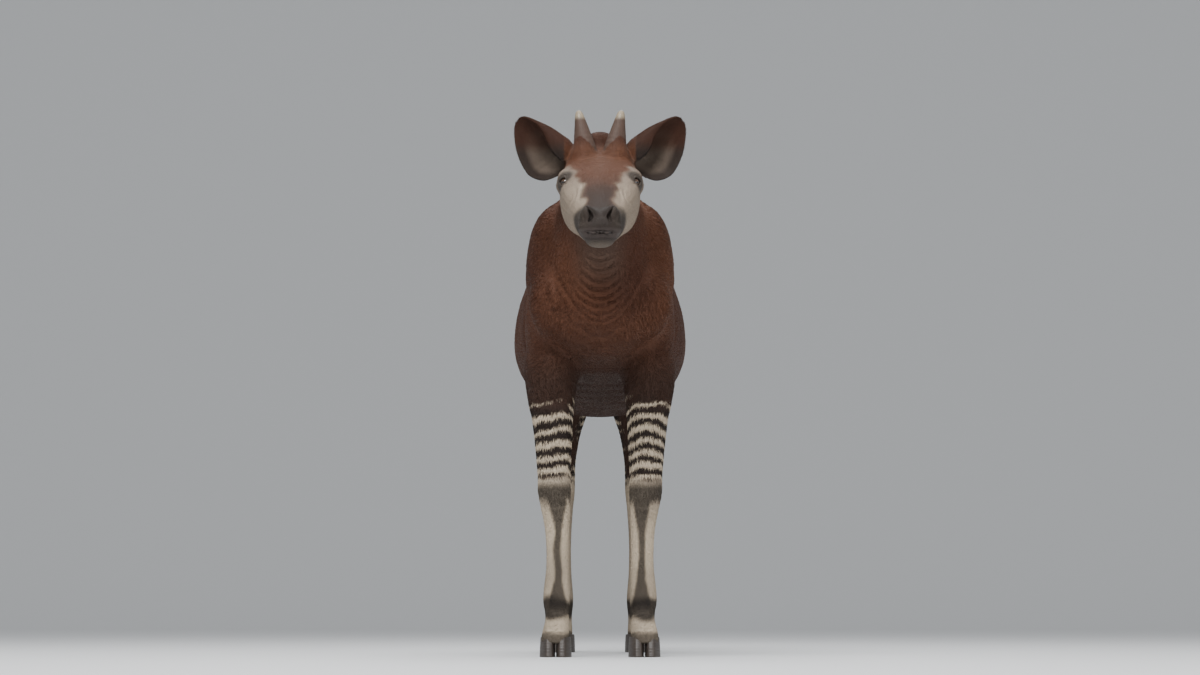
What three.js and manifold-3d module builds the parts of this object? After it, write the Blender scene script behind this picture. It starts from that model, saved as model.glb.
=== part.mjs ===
// A life-size adult male okapi that stands square and looks straight ahead.
// Millimetres, +Z up. The animal faces -Y and its mirror plane is X = 0.
// Inside this file a place is [side, fore, up]: side from the mirror plane,
// fore towards the nose from the fore hooves, and up from the ground.

import * as THREE from 'three';
import { mergeVertices } from 'three/addons/utils/BufferGeometryUtils.js';
import Module from 'manifold-3d';

const wasm = await Module();
wasm.setup();

// Driving dimensions

const GAP = 0.3;
const MIDDLE_TO_FORE_HOOVES = 235.65;
const OVERSHOOT = 75;
const SOFT_MIRROR = 8;

const WITHERS = { fore: -30, up: 1590 };
const CROUP_HEIGHT = 1450;
const BELLY_HEIGHT = 846;
const BARREL_HALF_WIDTH = 304;
const SHOULDER_HALF_WIDTH = 243;

const EYE = { side: 98, fore: 558, up: 1526, radius: 23, forward: 0.8, halfLength: 19, halfHeight: 16 };
const LID_THICKNESS = 3.6;
const MOUTH = { halfWidth: 54, backFore: 742, frontFore: 880, up: 1330, gape: 2.6 };
const MOUTH_FLOOR = { fore: 700, halfWidth: 48, reach: 119 };
const NOSTRIL_FLOOR_FORE = 812;
const NOSTRIL_LENGTH = 60;
const NOSTRIL_OUTLINE = [
  [43.5, 1414], [38, 1399], [33.5, 1384], [38, 1368], [32, 1364], [22, 1376], [21, 1385], [28, 1398],
];

const HORN = { baseSide: 39, tipSide: 71, baseFore: 458, tipFore: 428, baseUp: 1600, tipUp: 1788 };
const HORN_PROFILE = [
  { share: 0, radius: 44 },
  { share: 0.21, radius: 41 },
  { share: 0.4, radius: 34.7 },
  { share: 0.585, radius: 28.2 },
  { share: 0.76, radius: 20.8 },
  { share: 0.936, radius: 13.4 },
  { share: 0.98, radius: 8 },
];
const HORN_SEAM_UP = 1684;

const EAR = {
  root: [104, 414, 1612],
  tip: [270, 436, 1752],
  facing: [0.22, 0.97, 0.06],
  cup: 66,
  sunk: -0.3,
  rows: 14,
  columns: 16,
};
// From root to tip: the reach down to the lower rim and up to the upper rim,
// and how far the upper rim folds back over the opening
const EAR_RIMS = [
  { t: 0, lower: 52, upper: 56, fold: 66 },
  { t: 0.06, lower: 78, upper: 59, fold: 70 },
  { t: 0.12, lower: 95, upper: 61, fold: 72 },
  { t: 0.23, lower: 108, upper: 60, fold: 70 },
  { t: 0.36, lower: 112, upper: 58, fold: 60 },
  { t: 0.52, lower: 101, upper: 54, fold: 37 },
  { t: 0.64, lower: 88, upper: 48, fold: 22 },
  { t: 0.75, lower: 72, upper: 41, fold: 11 },
  { t: 0.88, lower: 46, upper: 32, fold: 6 },
  { t: 0.96, lower: 25, upper: 23, fold: 4 },
  { t: 1, lower: 8, upper: 9, fold: 2 },
];
const EAR_THICKNESS = 6;
const EAR_SEAM = 0;

const FORE_SEAM_UP = 905;
const HIND_SEAM_UP = 880;
const NECK_SEAM = { fore: 130, up: 1405, pitch: Math.atan2(0.5, 0.87) };
const HEAD_SEAM = { fore: 374, up: 1565, pitch: Math.atan2(0.33, 0.945) };
const TAIL_SEAM = { fore: -1238, up: 1326, pitch: Math.PI + Math.atan2(0.62, 0.78) };

const TAIL_CLEARANCE = 2;
const SEAT_CLEARANCE = 0.8;

// The locks of the tail's tuft, turned one after another round its core
const LOCK = { count: 9, sides: 6, width: 13, thickness: 7, length: 150, splay: 0.1, turn: 2.4 };
const TUFT = { fore: -1287, up: 1072, stagger: 14, halfWidth: 7, halfDepth: 6 };

const FORE_FOOT = { side: 149, fore: 30 };
const HIND_FOOT = { side: 147, fore: -1072 };
const CORONET_HEIGHT = 67;
const CLAW_LENGTH = 124;
const CLAW_WIDTH = 51;
const CLEFT = 5;
const CLAW_FLATNESS = 0.4;

// Body sections. Each is a level of the trunk: its place along the body, the
// back line, the height where it is widest, the belly line and half the width.

const TRUNK_LEVELS = [
  { fore: -1150, back: 1366, widest: 1190, belly: 1045, side: 108 },
  { fore: -1090, back: 1406, widest: 1190, belly: 995, side: 155 },
  { fore: -985, back: CROUP_HEIGHT, widest: 1190, belly: 950, side: 200 },
  { fore: -800, back: 1452, widest: 1160, belly: 898, side: 250 },
  { fore: -580, back: 1464, widest: 1108, belly: BELLY_HEIGHT, side: BARREL_HALF_WIDTH },
  { fore: -390, back: 1492, widest: 1120, belly: 862, side: 296 },
  { fore: -190, back: 1545, widest: 1170, belly: 918, side: 262 },
  { fore: WITHERS.fore, back: WITHERS.up, widest: 1200, belly: 958, side: SHOULDER_HALF_WIDTH },
  { fore: 90, back: 1540, widest: 1200, belly: 1000, side: 208 },
  { fore: 165, back: 1440, widest: 1205, belly: 1062, side: 145 },
];

const NECK_SECTIONS = [
  { at: [0, 40, 1358], side: 188, over: 240, under: 190 },
  { at: [0, 190, 1440], side: 146, over: 208, under: 182 },
  { at: [0, 300, 1503], side: 116, over: 178, under: 160 },
  { at: [0, 392, 1565], side: 102, over: 142, under: 134 },
  { at: [0, 425, 1590], side: 98, over: 118, under: 120 },
];

const HEAD_SECTIONS = [
  { at: [0, 392, 1646], side: 88, over: 20, under: 90 },
  { at: [0, 447, 1603], side: 110, over: 42, under: 138 },
  { at: [0, 545, 1526], side: 127, over: 58, under: 160 },
  { at: [0, 628, 1463], side: 113, over: 60, under: 152 },
  { at: [0, 707, 1405], side: 86, over: 54, under: 112 },
  { at: [0, 762, 1366], side: 69, over: 50, under: 72 },
  { at: [0, 800, 1343], side: 60, over: 40, under: 44 },
];

const FORELEG_SECTIONS = [
  { at: [165, -30, 975], side: 84, over: 105, under: 110 },
  { at: [163, -28, 869], side: 82, over: 88, under: 92 },
  { at: [157, -16, 790], side: 72, over: 74, under: 78 },
  { at: [152, -2, 625], side: 60, over: 56, under: 58 },
  { at: [150, 6, 548], side: 59, over: 57, under: 55 },
  { at: [143, 2, 459], side: 48, over: 43, under: 47 },
  { at: [140, -2, 394], side: 43, over: 40, under: 44 },
  { at: [139, -4, 304], side: 42, over: 40, under: 45 },
  { at: [142, -4, 197], side: 48, over: 47, under: 54 },
  { at: [140, 12, 131], side: 42, over: 42, under: 42 },
  { at: [146, 25, 78], side: 47, over: 48, under: 52 },
  { at: [148, 28, 50], side: 48, over: 50, under: 54 },
];

const HIND_LEG_SECTIONS = [
  { at: [140, -1000, 950], side: 104, over: 152, under: 168 },
  { at: [143, -1012, 880], side: 96, over: 130, under: 140 },
  { at: [146, -1030, 810], side: 78, over: 98, under: 106 },
  { at: [145, -1066, 726], side: 62, over: 66, under: 78 },
  { at: [143, -1096, 660], side: 56, over: 56, under: 76 },
  { at: [141, -1110, 600], side: 53, over: 51, under: 58 },
  { at: [140, -1113, 530], side: 45, over: 43, under: 48 },
  { at: [141, -1110, 424], side: 40, over: 39, under: 44 },
  { at: [141, -1107, 300], side: 40, over: 39, under: 44 },
  { at: [142, -1104, 200], side: 47, over: 46, under: 54 },
  { at: [141, -1090, 134], side: 41, over: 41, under: 43 },
  { at: [145, -1077, 78], side: 47, over: 48, under: 52 },
  { at: [146, -1074, 50], side: 48, over: 50, under: 54 },
];

const TAIL_SECTIONS = [
  { at: [0, -1165, 1346], side: 36, over: 34, under: 34 },
  { at: [0, -1222, 1337], side: 30, over: 30, under: 30 },
  { at: [0, -1268, 1290], side: 24, over: 24, under: 24 },
  { at: [0, -1290, 1190], side: 19, over: 18, under: 18 },
  { at: [0, -1292, 1096], side: 16, over: 14, under: 14 },
  { at: [0, -1288, 1034], side: 22, over: 17, under: 17 },
  { at: [0, -1284, 974], side: 21, over: 16, under: 16 },
  { at: [0, -1282, 928], side: 10, over: 8, under: 8 },
];

// Muscles and bones that stand out of the sections above. Each is a rounded
// mass with a place, its reach [side, fore, up], a forward pitch and the
// width over which it runs into its neighbours.

const MASSES = {
  scapula: { at: [158, 15, 1330], reach: [86, 120, 190], pitch: -0.35, blend: 60 },
  shoulderPoint: { at: [158, 122, 1180], reach: [78, 84, 110], pitch: 0, blend: 50 },
  upperArm: { at: [168, -62, 1085], reach: [82, 128, 150], pitch: 0.5, blend: 50 },
  forearm: { at: [160, -25, 960], reach: [84, 104, 110], pitch: 0, blend: 40 },
  breast: { at: [74, 142, 1112], reach: [74, 72, 78], pitch: 0, blend: 34 },
  thigh: { at: [132, -1010, 1120], reach: [118, 178, 262], pitch: 0.1, blend: 60 },
  buttock: { at: [92, -1146, 1110], reach: [88, 76, 200], pitch: -0.05, blend: 50 },
  stifle: { at: [160, -905, 985], reach: [72, 84, 112], pitch: 0.2, blend: 50 },
  hipBone: { at: [150, -905, 1368], reach: [62, 60, 46], pitch: 0, blend: 60 },
  hockPoint: { at: [143, -1160, 690], reach: [22, 26, 52], pitch: 0.12, blend: 26 },
  cheek: { at: [74, 550, 1446], reach: [38, 92, 64], pitch: -0.55, blend: 40 },
  orbit: { at: [114, 528, 1523], reach: [25, 30, 26], pitch: 0, blend: 18 },
  brow: { at: [94, 540, 1553], reach: [34, 40, 22], pitch: -0.4, blend: 24 },
  poll: { at: [0, 370, 1682], reach: [56, 42, 48], pitch: 0, blend: 24 },
  hornBoss: { at: [50, 452, 1626], reach: [42, 44, 36], pitch: 0, blend: 24 },
  nostrilWing: { at: [36, 802, 1388], reach: [25, 27, 32], pitch: -0.3, blend: 26 },
  upperLip: { at: [27, 800, 1347], reach: [34, 30, 17], pitch: -0.1, blend: 22 },
  lowerLip: { at: [16, 796, 1320], reach: [32, 24, 12], pitch: 0, blend: 14 },
  chin: { at: [0, 766, 1309], reach: [38, 30, 20], pitch: 0, blend: 24 },
};

// Mesh fineness: columns around a form, and rows along it

const FINENESS = {
  torso: { around: 32, along: 30, cap: 6 },
  neck: { around: 26, along: 12, cap: 1 },
  head: { around: 34, along: 24, cap: 9 },
  leg: { around: 16, along: 22, cap: 1 },
  tail: { around: 10, along: 10, cap: 2 },
};

// The anatomy as one field: negative inside the flesh, about a distance

function smoothMinimum(a, b, blend) {
  const overlap = Math.max(blend - Math.abs(a - b), 0) / blend;
  return Math.min(a, b) - overlap * overlap * blend * 0.25;
}

function radialDistance(length, norm, smallest) {
  return norm > 1e-6 ? length * (1 - 1 / norm) : -smallest;
}

function levelToSection({ fore, back, widest, belly, side }) {
  return { at: [0, fore, widest], side, over: back - widest, under: widest - belly };
}

function catmullRom(a, b, c, d, t) {
  const t2 = t * t;
  const t3 = t2 * t;
  return 0.5 * (2 * b + (c - a) * t + (2 * a - 5 * b + 4 * c - d) * t2 + (3 * b - a - 3 * c + d) * t3);
}

function smoothStations(sections, perSpan) {
  const rows = sections.map((s) => [...s.at, s.side, s.over, s.under]);
  const stations = [];
  for (let i = 0; i < rows.length - 1; i++) {
    const before = rows[Math.max(i - 1, 0)];
    const after = rows[Math.min(i + 2, rows.length - 1)];
    for (let step = 0; step < perSpan; step++) {
      const t = step / perSpan;
      stations.push(rows[i].map((v, k) => catmullRom(before[k], v, rows[i + 1][k], after[k], t)));
    }
  }
  stations.push(rows[rows.length - 1]);
  return stations;
}

function limb(sections, { squareness = 2, blend = 40, cap = 0.8 } = {}) {
  const stations = smoothStations(sections, 6);
  const last = stations.length - 2;
  function distance(side, fore, up) {
    let best = Infinity;
    let bestSpan = 0;
    let bestT = 0;
    for (let i = 0; i <= last; i++) {
      const [, f0, z0] = stations[i];
      const df = stations[i + 1][1] - f0;
      const dz = stations[i + 1][2] - z0;
      const raw = ((fore - f0) * df + (up - z0) * dz) / (df * df + dz * dz);
      const t = Math.min(Math.max(raw, 0), 1);
      const ef = fore - f0 - t * df;
      const ez = up - z0 - t * dz;
      const d2 = ef * ef + ez * ez;
      if (d2 < best) {
        best = d2;
        bestSpan = i;
        bestT = t;
      }
    }
    const a = stations[bestSpan];
    const b = stations[bestSpan + 1];
    const mix = (k) => a[k] + (b[k] - a[k]) * bestT;
    const df = b[1] - a[1];
    const dz = b[2] - a[2];
    const span = Math.hypot(df, dz);
    const ef = fore - mix(1);
    const ez = up - mix(2);
    const depth = (-ef * dz + ez * df) / span;
    const beyond = Math.abs((ef * df + ez * dz) / span);
    const lateral = Math.abs(side - mix(0));
    const reachSide = mix(3);
    const reachDepth = depth > 0 ? mix(4) : mix(5);
    const reachEnd = cap * Math.min(reachSide, reachDepth);
    const norm = (
      (lateral / reachSide) ** squareness
      + (Math.abs(depth) / reachDepth) ** squareness
      + (beyond / reachEnd) ** squareness
    ) ** (1 / squareness);
    return radialDistance(Math.hypot(lateral, depth, beyond), norm, Math.min(reachSide, reachDepth));
  }
  return { blend, distance };
}

function mass({ at, reach, pitch, blend }) {
  const cosine = Math.cos(pitch);
  const sine = Math.sin(pitch);
  function distance(side, fore, up) {
    const x = side - at[0];
    const f = (fore - at[1]) * cosine + (up - at[2]) * sine;
    const z = (up - at[2]) * cosine - (fore - at[1]) * sine;
    const norm = Math.hypot(x / reach[0], f / reach[1], z / reach[2]);
    return radialDistance(Math.hypot(x, f, z), norm, Math.min(...reach));
  }
  return { blend, distance };
}

const FORMS = [
  limb(TRUNK_LEVELS.map(levelToSection), { squareness: 2.1, blend: 60 }),
  limb(NECK_SECTIONS, { squareness: 2.1, blend: 90, cap: 0.4 }),
  limb(HEAD_SECTIONS, { squareness: 2.05, blend: 40 }),
  limb(FORELEG_SECTIONS, { squareness: 2.15, blend: 46 }),
  limb(HIND_LEG_SECTIONS, { squareness: 2.15, blend: 60 }),
  ...Object.values(MASSES).map(mass),
];

function flesh(side, fore, up) {
  const mirrored = Math.sqrt(side * side + SOFT_MIRROR * SOFT_MIRROR) - SOFT_MIRROR * 0.5;
  let value = FORMS[0].distance(mirrored, fore, up);
  for (const form of FORMS.slice(1)) {
    value = smoothMinimum(value, form.distance(mirrored, fore, up), form.blend);
  }
  return value;
}

// Solids

function world([side, fore, up]) {
  return new THREE.Vector3(side, -fore - MIDDLE_TO_FORE_HOOVES, up);
}

function solidOf(geometry) {
  const bare = geometry.clone();
  for (const name of Object.keys(bare.attributes)) {
    if (name !== 'position') bare.deleteAttribute(name);
  }
  const merged = mergeVertices(bare, 1e-3);
  const index = merged.index.array;
  const triangles = [];
  for (let i = 0; i < index.length; i += 3) {
    const [a, b, c] = index.slice(i, i + 3);
    if (a !== b && b !== c && c !== a) triangles.push(a, b, c);
  }
  return new wasm.Manifold(new wasm.Mesh({
    numProp: 3,
    vertProperties: Float32Array.from(merged.attributes.position.array),
    triVerts: Uint32Array.from(triangles),
  }));
}

// A closed form whose rows were moved may have its faces turned in
function facingOut(geometry) {
  const index = geometry.index.array;
  const position = geometry.attributes.position;
  const [a, b, c] = [new THREE.Vector3(), new THREE.Vector3(), new THREE.Vector3()];
  let volume = 0;
  for (let i = 0; i < index.length; i += 3) {
    a.fromBufferAttribute(position, index[i]);
    b.fromBufferAttribute(position, index[i + 1]);
    c.fromBufferAttribute(position, index[i + 2]);
    volume += a.dot(b.cross(c));
  }
  for (let i = 0; volume < 0 && i < index.length; i += 3) {
    [index[i], index[i + 1]] = [index[i + 1], index[i]];
  }
  return solidOf(geometry);
}

function largestBody(solid) {
  const bodies = solid.decompose();
  return bodies.reduce((kept, body) => (body.volume() > kept.volume() ? body : kept));
}

function geometryOf(solid) {
  const mesh = largestBody(solid).getMesh();
  const geometry = new THREE.BufferGeometry();
  geometry.setAttribute('position', new THREE.Float32BufferAttribute(mesh.vertProperties, 3));
  geometry.setIndex(new THREE.Uint32BufferAttribute(mesh.triVerts, 1));
  geometry.computeVertexNormals();
  return geometry;
}

function firstExit(field, start, direction, farthest) {
  const coarse = 14;
  let inside = 0;
  let outside = coarse;
  const at = (d) => field(
    start[0] + direction[0] * d,
    start[1] + direction[1] * d,
    start[2] + direction[2] * d,
  );
  while (outside < farthest && at(outside) < 0) {
    inside = outside;
    outside += coarse;
  }
  for (let i = 0; i < 11; i++) {
    const middle = (inside + outside) / 2;
    if (at(middle) < 0) inside = middle;
    else outside = middle;
  }
  return (inside + outside) / 2;
}

// Moves the rows of a sphere out along the spine of a form to its surface.
// The rows at each end fan round the spine's last point.
function wrap(field, spine, { around, along, cap }, farthest = 620) {
  const curve = new THREE.CatmullRomCurve3(spine.map((p) => new THREE.Vector3(...p)));
  const rows = along + 2 * cap;
  const sphere = new THREE.SphereGeometry(1, around, rows);
  const position = sphere.attributes.position;
  for (let row = 0; row <= rows; row++) {
    const t = THREE.MathUtils.clamp((row - cap) / along, 0, 1);
    const middle = curve.getPointAt(t);
    const tangent = curve.getTangentAt(t);
    const fan = row < cap ? -(cap - row) / cap : Math.max(row - cap - along, 0) / cap;
    const tilt = fan * Math.PI / 2;
    const depth = [0, -tangent.z, tangent.y];
    for (let column = 0; column <= around; column++) {
      const turn = (column / around) * Math.PI * 2;
      const radial = [Math.sin(turn), depth[1] * Math.cos(turn), depth[2] * Math.cos(turn)];
      const direction = radial.map((v, k) => v * Math.cos(tilt) + tangent.getComponent(k) * Math.sin(tilt));
      const reach = firstExit(field, middle.toArray(), direction, farthest);
      const place = middle.toArray().map((v, k) => v + direction[k] * reach);
      position.setXYZ(row * (around + 1) + column, ...world(place).toArray());
    }
  }
  return solidOf(sphere);
}

function seamDistance(seam) {
  const cosine = Math.cos(seam.pitch);
  const sine = Math.sin(seam.pitch);
  return (side, fore, up) => (fore - seam.fore) * cosine + (up - seam.up) * sine;
}

// All space beyond a flat seam, from a place on it towards its normal
function beyondPlane(place, normal, shift) {
  const size = 3000;
  const space = new THREE.BoxGeometry(size, size, size);
  space.translate(0, 0, size / 2 + shift);
  space.applyQuaternion(new THREE.Quaternion().setFromUnitVectors(new THREE.Vector3(0, 0, 1), normal));
  space.translate(...place.toArray());
  return solidOf(space);
}

function beyondSeam(seam, shift = 0) {
  const normal = new THREE.Vector3(0, -Math.cos(seam.pitch), Math.sin(seam.pitch));
  return beyondPlane(world([0, seam.fore, seam.up]), normal, shift);
}

function block(low, high) {
  const a = world(low);
  const b = world(high);
  const box = new THREE.BoxGeometry(Math.abs(b.x - a.x), Math.abs(b.y - a.y), Math.abs(b.z - a.z));
  box.translate((a.x + b.x) / 2, (a.y + b.y) / 2, (a.z + b.z) / 2);
  return solidOf(box);
}

const LEG_BOXES = {
  front: { low: [4, -165, -50], high: [500, 260, FORE_SEAM_UP] },
  hind: { low: [4, -1400, -50], high: [500, -845, HIND_SEAM_UP] },
};

function insideBox({ low, high }, shrink) {
  return (side, fore, up) => Math.max(
    low[0] + shrink - Math.abs(side),
    low[1] + shrink - fore,
    fore - high[1] + shrink,
    up - high[2] + shrink,
  );
}

function makeTorso() {
  const neckSeam = seamDistance(NECK_SEAM);
  const frontBox = insideBox(LEG_BOXES.front, 0);
  const hindBox = insideBox(LEG_BOXES.hind, 0);
  const belowFront = (up) => up - (FORE_SEAM_UP - OVERSHOOT);
  const belowHind = (up) => up - (HIND_SEAM_UP - OVERSHOOT);
  const field = (side, fore, up) => Math.max(
    flesh(side, fore, up),
    neckSeam(side, fore, up) - OVERSHOOT,
    Math.min(-frontBox(side, fore, up), -belowFront(up)),
    Math.min(-hindBox(side, fore, up), -belowHind(up)),
  );
  const spine = [[0, -1080, 1200], [0, -560, 1150], [0, -100, 1200], [0, 70, 1260]];
  let torso = wrap(field, spine, FINENESS.torso);
  torso = torso.subtract(beyondSeam(NECK_SEAM, 0));
  for (const { low, high } of Object.values(LEG_BOXES)) {
    const mirrored = [-high[0], high[1], high[2]];
    torso = torso.subtract(block(low, high));
    torso = torso.subtract(block([-low[0], low[1], low[2]], mirrored));
  }
  return torso;
}

function makeNeck() {
  const torsoSeam = seamDistance(NECK_SEAM);
  const headSeam = seamDistance(HEAD_SEAM);
  const field = (side, fore, up) => Math.max(
    flesh(side, fore, up),
    -torsoSeam(side, fore, up) - OVERSHOOT,
    headSeam(side, fore, up) - OVERSHOOT,
  );
  const spine = [[0, 80, 1380], [0, 190, 1440], [0, 300, 1503], [0, 430, 1590]];
  return wrap(field, spine, FINENESS.neck)
    .intersect(beyondSeam(NECK_SEAM, GAP))
    .subtract(beyondSeam(HEAD_SEAM, 0));
}

function makeHead(clearance) {
  const headSeam = seamDistance(HEAD_SEAM);
  const field = (side, fore, up) => Math.max(
    flesh(side, fore, up) - clearance,
    -headSeam(side, fore, up) - OVERSHOOT,
  );
  const spine = [[0, 372, 1655], [0, 447, 1590], [0, 545, 1505], [0, 628, 1445], [0, 707, 1390], [0, 778, 1350]];
  return wrap(field, spine, FINENESS.head).intersect(beyondSeam(HEAD_SEAM, GAP - clearance));
}

function makeLeg(box, sections, side) {
  const [top, ...lower] = sections.map(({ at }) => at);
  const field = (x, fore, up) => Math.max(
    flesh(x, fore, up),
    box.low[0] + 2 - x,
    box.low[1] - OVERSHOOT - fore,
    fore - box.high[1] - OVERSHOOT,
  );
  const spine = [top, ...lower];
  const { low, high } = box;
  const leg = wrap(field, spine, FINENESS.leg, 400)
    .intersect(block([low[0], low[1], CORONET_HEIGHT + GAP], [high[0], high[1], high[2] - GAP]));
  return side > 0 ? leg : leg.mirror([1, 0, 0]);
}

function makeTail(clearance) {
  const tail = limb(TAIL_SECTIONS);
  const field = (side, fore, up) => tail.distance(side, fore, up) - clearance;
  return wrap(field, TAIL_SECTIONS.map(({ at }) => at), FINENESS.tail, 80);
}

// The tuft at the tail's end: flat locks that taper to points
function makeTuft() {
  const locks = [];
  for (let i = 0; i < LOCK.count; i++) {
    const turn = i * LOCK.turn;
    const out = Math.sqrt(i / LOCK.count);
    const lock = new THREE.ConeGeometry(1, LOCK.length, LOCK.sides);
    lock.rotateX(-Math.PI / 2);
    lock.scale(LOCK.width, LOCK.thickness, 1);
    lock.translate(0, 0, -LOCK.length / 2);
    lock.rotateZ(turn);
    lock.rotateX(LOCK.splay * out * Math.sin(turn));
    lock.rotateY(LOCK.splay * out * Math.cos(turn));
    const side = TUFT.halfWidth * out * Math.cos(turn);
    const fore = TUFT.fore - TUFT.halfDepth * out * Math.sin(turn);
    lock.translate(...world([side, fore, TUFT.up - TUFT.stagger * (i % 3)]).toArray());
    locks.push(solidOf(lock));
  }
  return locks.reduce((tuft, lock) => tuft.add(lock));
}

// A claw of a cloven hoof: a flat sole pointed in front and a sloping wall
function makeClaw(foot, outward, side) {
  const profile = [
    { up: 0, reach: 1, back: 0 },
    { up: 0.5, reach: 0.93, back: 6 },
    { up: 1, reach: 0.8, back: 13 },
  ];
  const around = 14;
  const rings = profile.length;
  const claw = new THREE.CylinderGeometry(1, 1, 1, around, rings - 1);
  const position = claw.attributes.position;
  for (let i = 0; i < position.count; i++) {
    const level = Math.round((position.getY(i) + 0.5) * (rings - 1));
    const { up, reach, back } = profile[level];
    const x = position.getX(i);
    const fore = position.getZ(i);
    const toe = (1 - 0.42 * Math.max(fore, 0) ** 1.5) * (0.5 + 0.5 * reach);
    // the wall beside the cleft is nearly flat
    const inner = x * side * outward < 0;
    const half = inner ? Math.sign(x) * Math.abs(x) ** CLAW_FLATNESS : x * toe;
    position.setXYZ(
      i,
      half * (CLAW_WIDTH / 2),
      -(fore * (CLAW_LENGTH / 2) * reach - back),
      up * CORONET_HEIGHT,
    );
  }
  const centreSide = foot.side + outward * (CLAW_WIDTH + CLEFT) / 2;
  claw.translate(side * centreSide, -foot.fore - MIDDLE_TO_FORE_HOOVES, 0);
  return solidOf(claw);
}

function makeHorn(side, clearance) {
  const base = new THREE.Vector3(HORN.baseSide, HORN.baseFore, HORN.baseUp);
  const tip = new THREE.Vector3(HORN.tipSide, HORN.tipFore, HORN.tipUp);
  const length = base.distanceTo(tip);
  const wall = HORN_PROFILE.map(({ share, radius }) => new THREE.Vector2(radius + clearance, length * share));
  const profile = [new THREE.Vector2(0, 0), ...wall, new THREE.Vector2(0, length + clearance)];
  const horn = new THREE.LatheGeometry(profile, 18);
  const axis = new THREE.Vector3(side * (tip.x - base.x), -(tip.y - base.y), tip.z - base.z).normalize();
  horn.applyQuaternion(new THREE.Quaternion().setFromUnitVectors(new THREE.Vector3(0, 1, 0), axis));
  horn.translate(side * base.x, -base.y - MIDDLE_TO_FORE_HOOVES, base.z);
  return solidOf(horn);
}

// The line of the mouth: a thin groove round the front of the muzzle
function makeMouth() {
  const { halfWidth, backFore, frontFore, up, gape } = MOUTH;
  const plate = block([-halfWidth, backFore, up - gape / 2], [halfWidth, frontFore, up + gape / 2]);
  const floor = new THREE.CylinderGeometry(1, 1, gape * 4, 32);
  floor.rotateX(Math.PI / 2);
  floor.scale(MOUTH_FLOOR.halfWidth, MOUTH_FLOOR.reach, 1);
  floor.translate(...world([0, MOUTH_FLOOR.fore, up]).toArray());
  return plate.subtract(solidOf(floor));
}

function makeNostril(side) {
  const outline = new THREE.Shape(NOSTRIL_OUTLINE.map(([x, up]) => new THREE.Vector2(x, up)));
  const hole = new THREE.ExtrudeGeometry(outline, { depth: NOSTRIL_LENGTH, bevelEnabled: false });
  hole.rotateX(Math.PI / 2);
  hole.translate(...world([0, NOSTRIL_FLOOR_FORE, 0]).toArray());
  const solid = solidOf(hole);
  return side > 0 ? solid : solid.mirror([1, 0, 0]);
}

// An ear: a cupped leaf that opens forward. Its upper rim folds over towards
// the root. A place in it is t, from root to tip, and v, from upper to lower rim.

function earAxes() {
  const root = new THREE.Vector3(...EAR.root);
  const axis = new THREE.Vector3(...EAR.tip).sub(root);
  const forward = new THREE.Vector3(...EAR.facing).normalize();
  const down = new THREE.Vector3().crossVectors(forward, axis).normalize();
  if (down.z > 0) down.negate();
  return { root, axis, forward, down };
}

function earRims(t) {
  const after = Math.max(EAR_RIMS.findIndex((row) => row.t >= t), 1);
  const [low, high] = [EAR_RIMS[after - 1], EAR_RIMS[after]];
  const mix = (t - low.t) / (high.t - low.t);
  const cup = EAR.cup * Math.min(1, 0.42 + 2 * t) * Math.min(1, 1.5 * (1 - t) ** 0.8);
  const at = (name) => THREE.MathUtils.lerp(low[name], high[name], mix);
  return { lower: at('lower'), upper: -at('upper'), fold: at('fold'), cup };
}

function earSection(t, v) {
  const { lower, upper, fold, cup } = earRims(Math.max(t, 0));
  const main = THREE.MathUtils.clamp((v + 0.6) / 1.6, 0, 1);
  const rolled = THREE.MathUtils.clamp((-0.6 - v) / 0.4, 0, 1);
  const bow = Math.sin(Math.PI * main ** 0.8);
  const down = upper + (lower - upper) * main + fold * (1 - Math.cos(rolled * 2.2)) * 0.6;
  const forward = -cup * bow + fold * 0.42 * Math.sin(rolled * 2.2);
  const squeeze = t < 0 ? 1 + t * 2.4 : 1;
  return new THREE.Vector2(down * squeeze, forward * squeeze);
}

function earPoint(t, v, face) {
  const { root, axis, forward, down } = earAxes();
  const step = 0.02;
  const here = earSection(t, v);
  const along = earSection(t, Math.min(v + step, 1)).sub(earSection(t, Math.max(v - step, -1))).normalize();
  const half = face * EAR_THICKNESS / 2;
  return root
    .addScaledVector(axis, t)
    .addScaledVector(down, here.x - along.y * half)
    .addScaledVector(forward, here.y + along.x * half);
}

function makeEar(side) {
  const { rows, columns } = EAR;
  const around = 2 * columns;
  const sheet = new THREE.SphereGeometry(1, around, rows);
  const position = sheet.attributes.position;
  for (let row = 0; row <= rows; row++) {
    const t = THREE.MathUtils.lerp(EAR.sunk, 1, row / rows);
    const end = row === 0 || row === rows;
    for (let column = 0; column <= around; column++) {
      const ring = column % around;
      const back = ring > columns;
      const v = back ? 1 - 2 * (ring - columns) / columns : -1 + 2 * ring / columns;
      const face = ring % columns === 0 ? 0 : (back ? -1 : 1);
      const spot = end ? earPoint(t, 0.1, 0) : earPoint(t, v, face);
      position.setXYZ(row * (around + 1) + column, side * spot.x, -spot.y - MIDDLE_TO_FORE_HOOVES, spot.z);
    }
  }
  return facingOut(sheet);
}

function earSeam(side) {
  const root = world([side * EAR.root[0], EAR.root[1], EAR.root[2]]);
  const tip = world([side * EAR.tip[0], EAR.tip[1], EAR.tip[2]]);
  return [root.clone().lerp(tip, EAR_SEAM), tip.sub(root).normalize()];
}

function makeEye(side, radius) {
  const eye = new THREE.SphereGeometry(radius, 16, 12);
  eye.translate(...world([side * EYE.side, EYE.fore, EYE.up]).toArray());
  return solidOf(eye);
}

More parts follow.
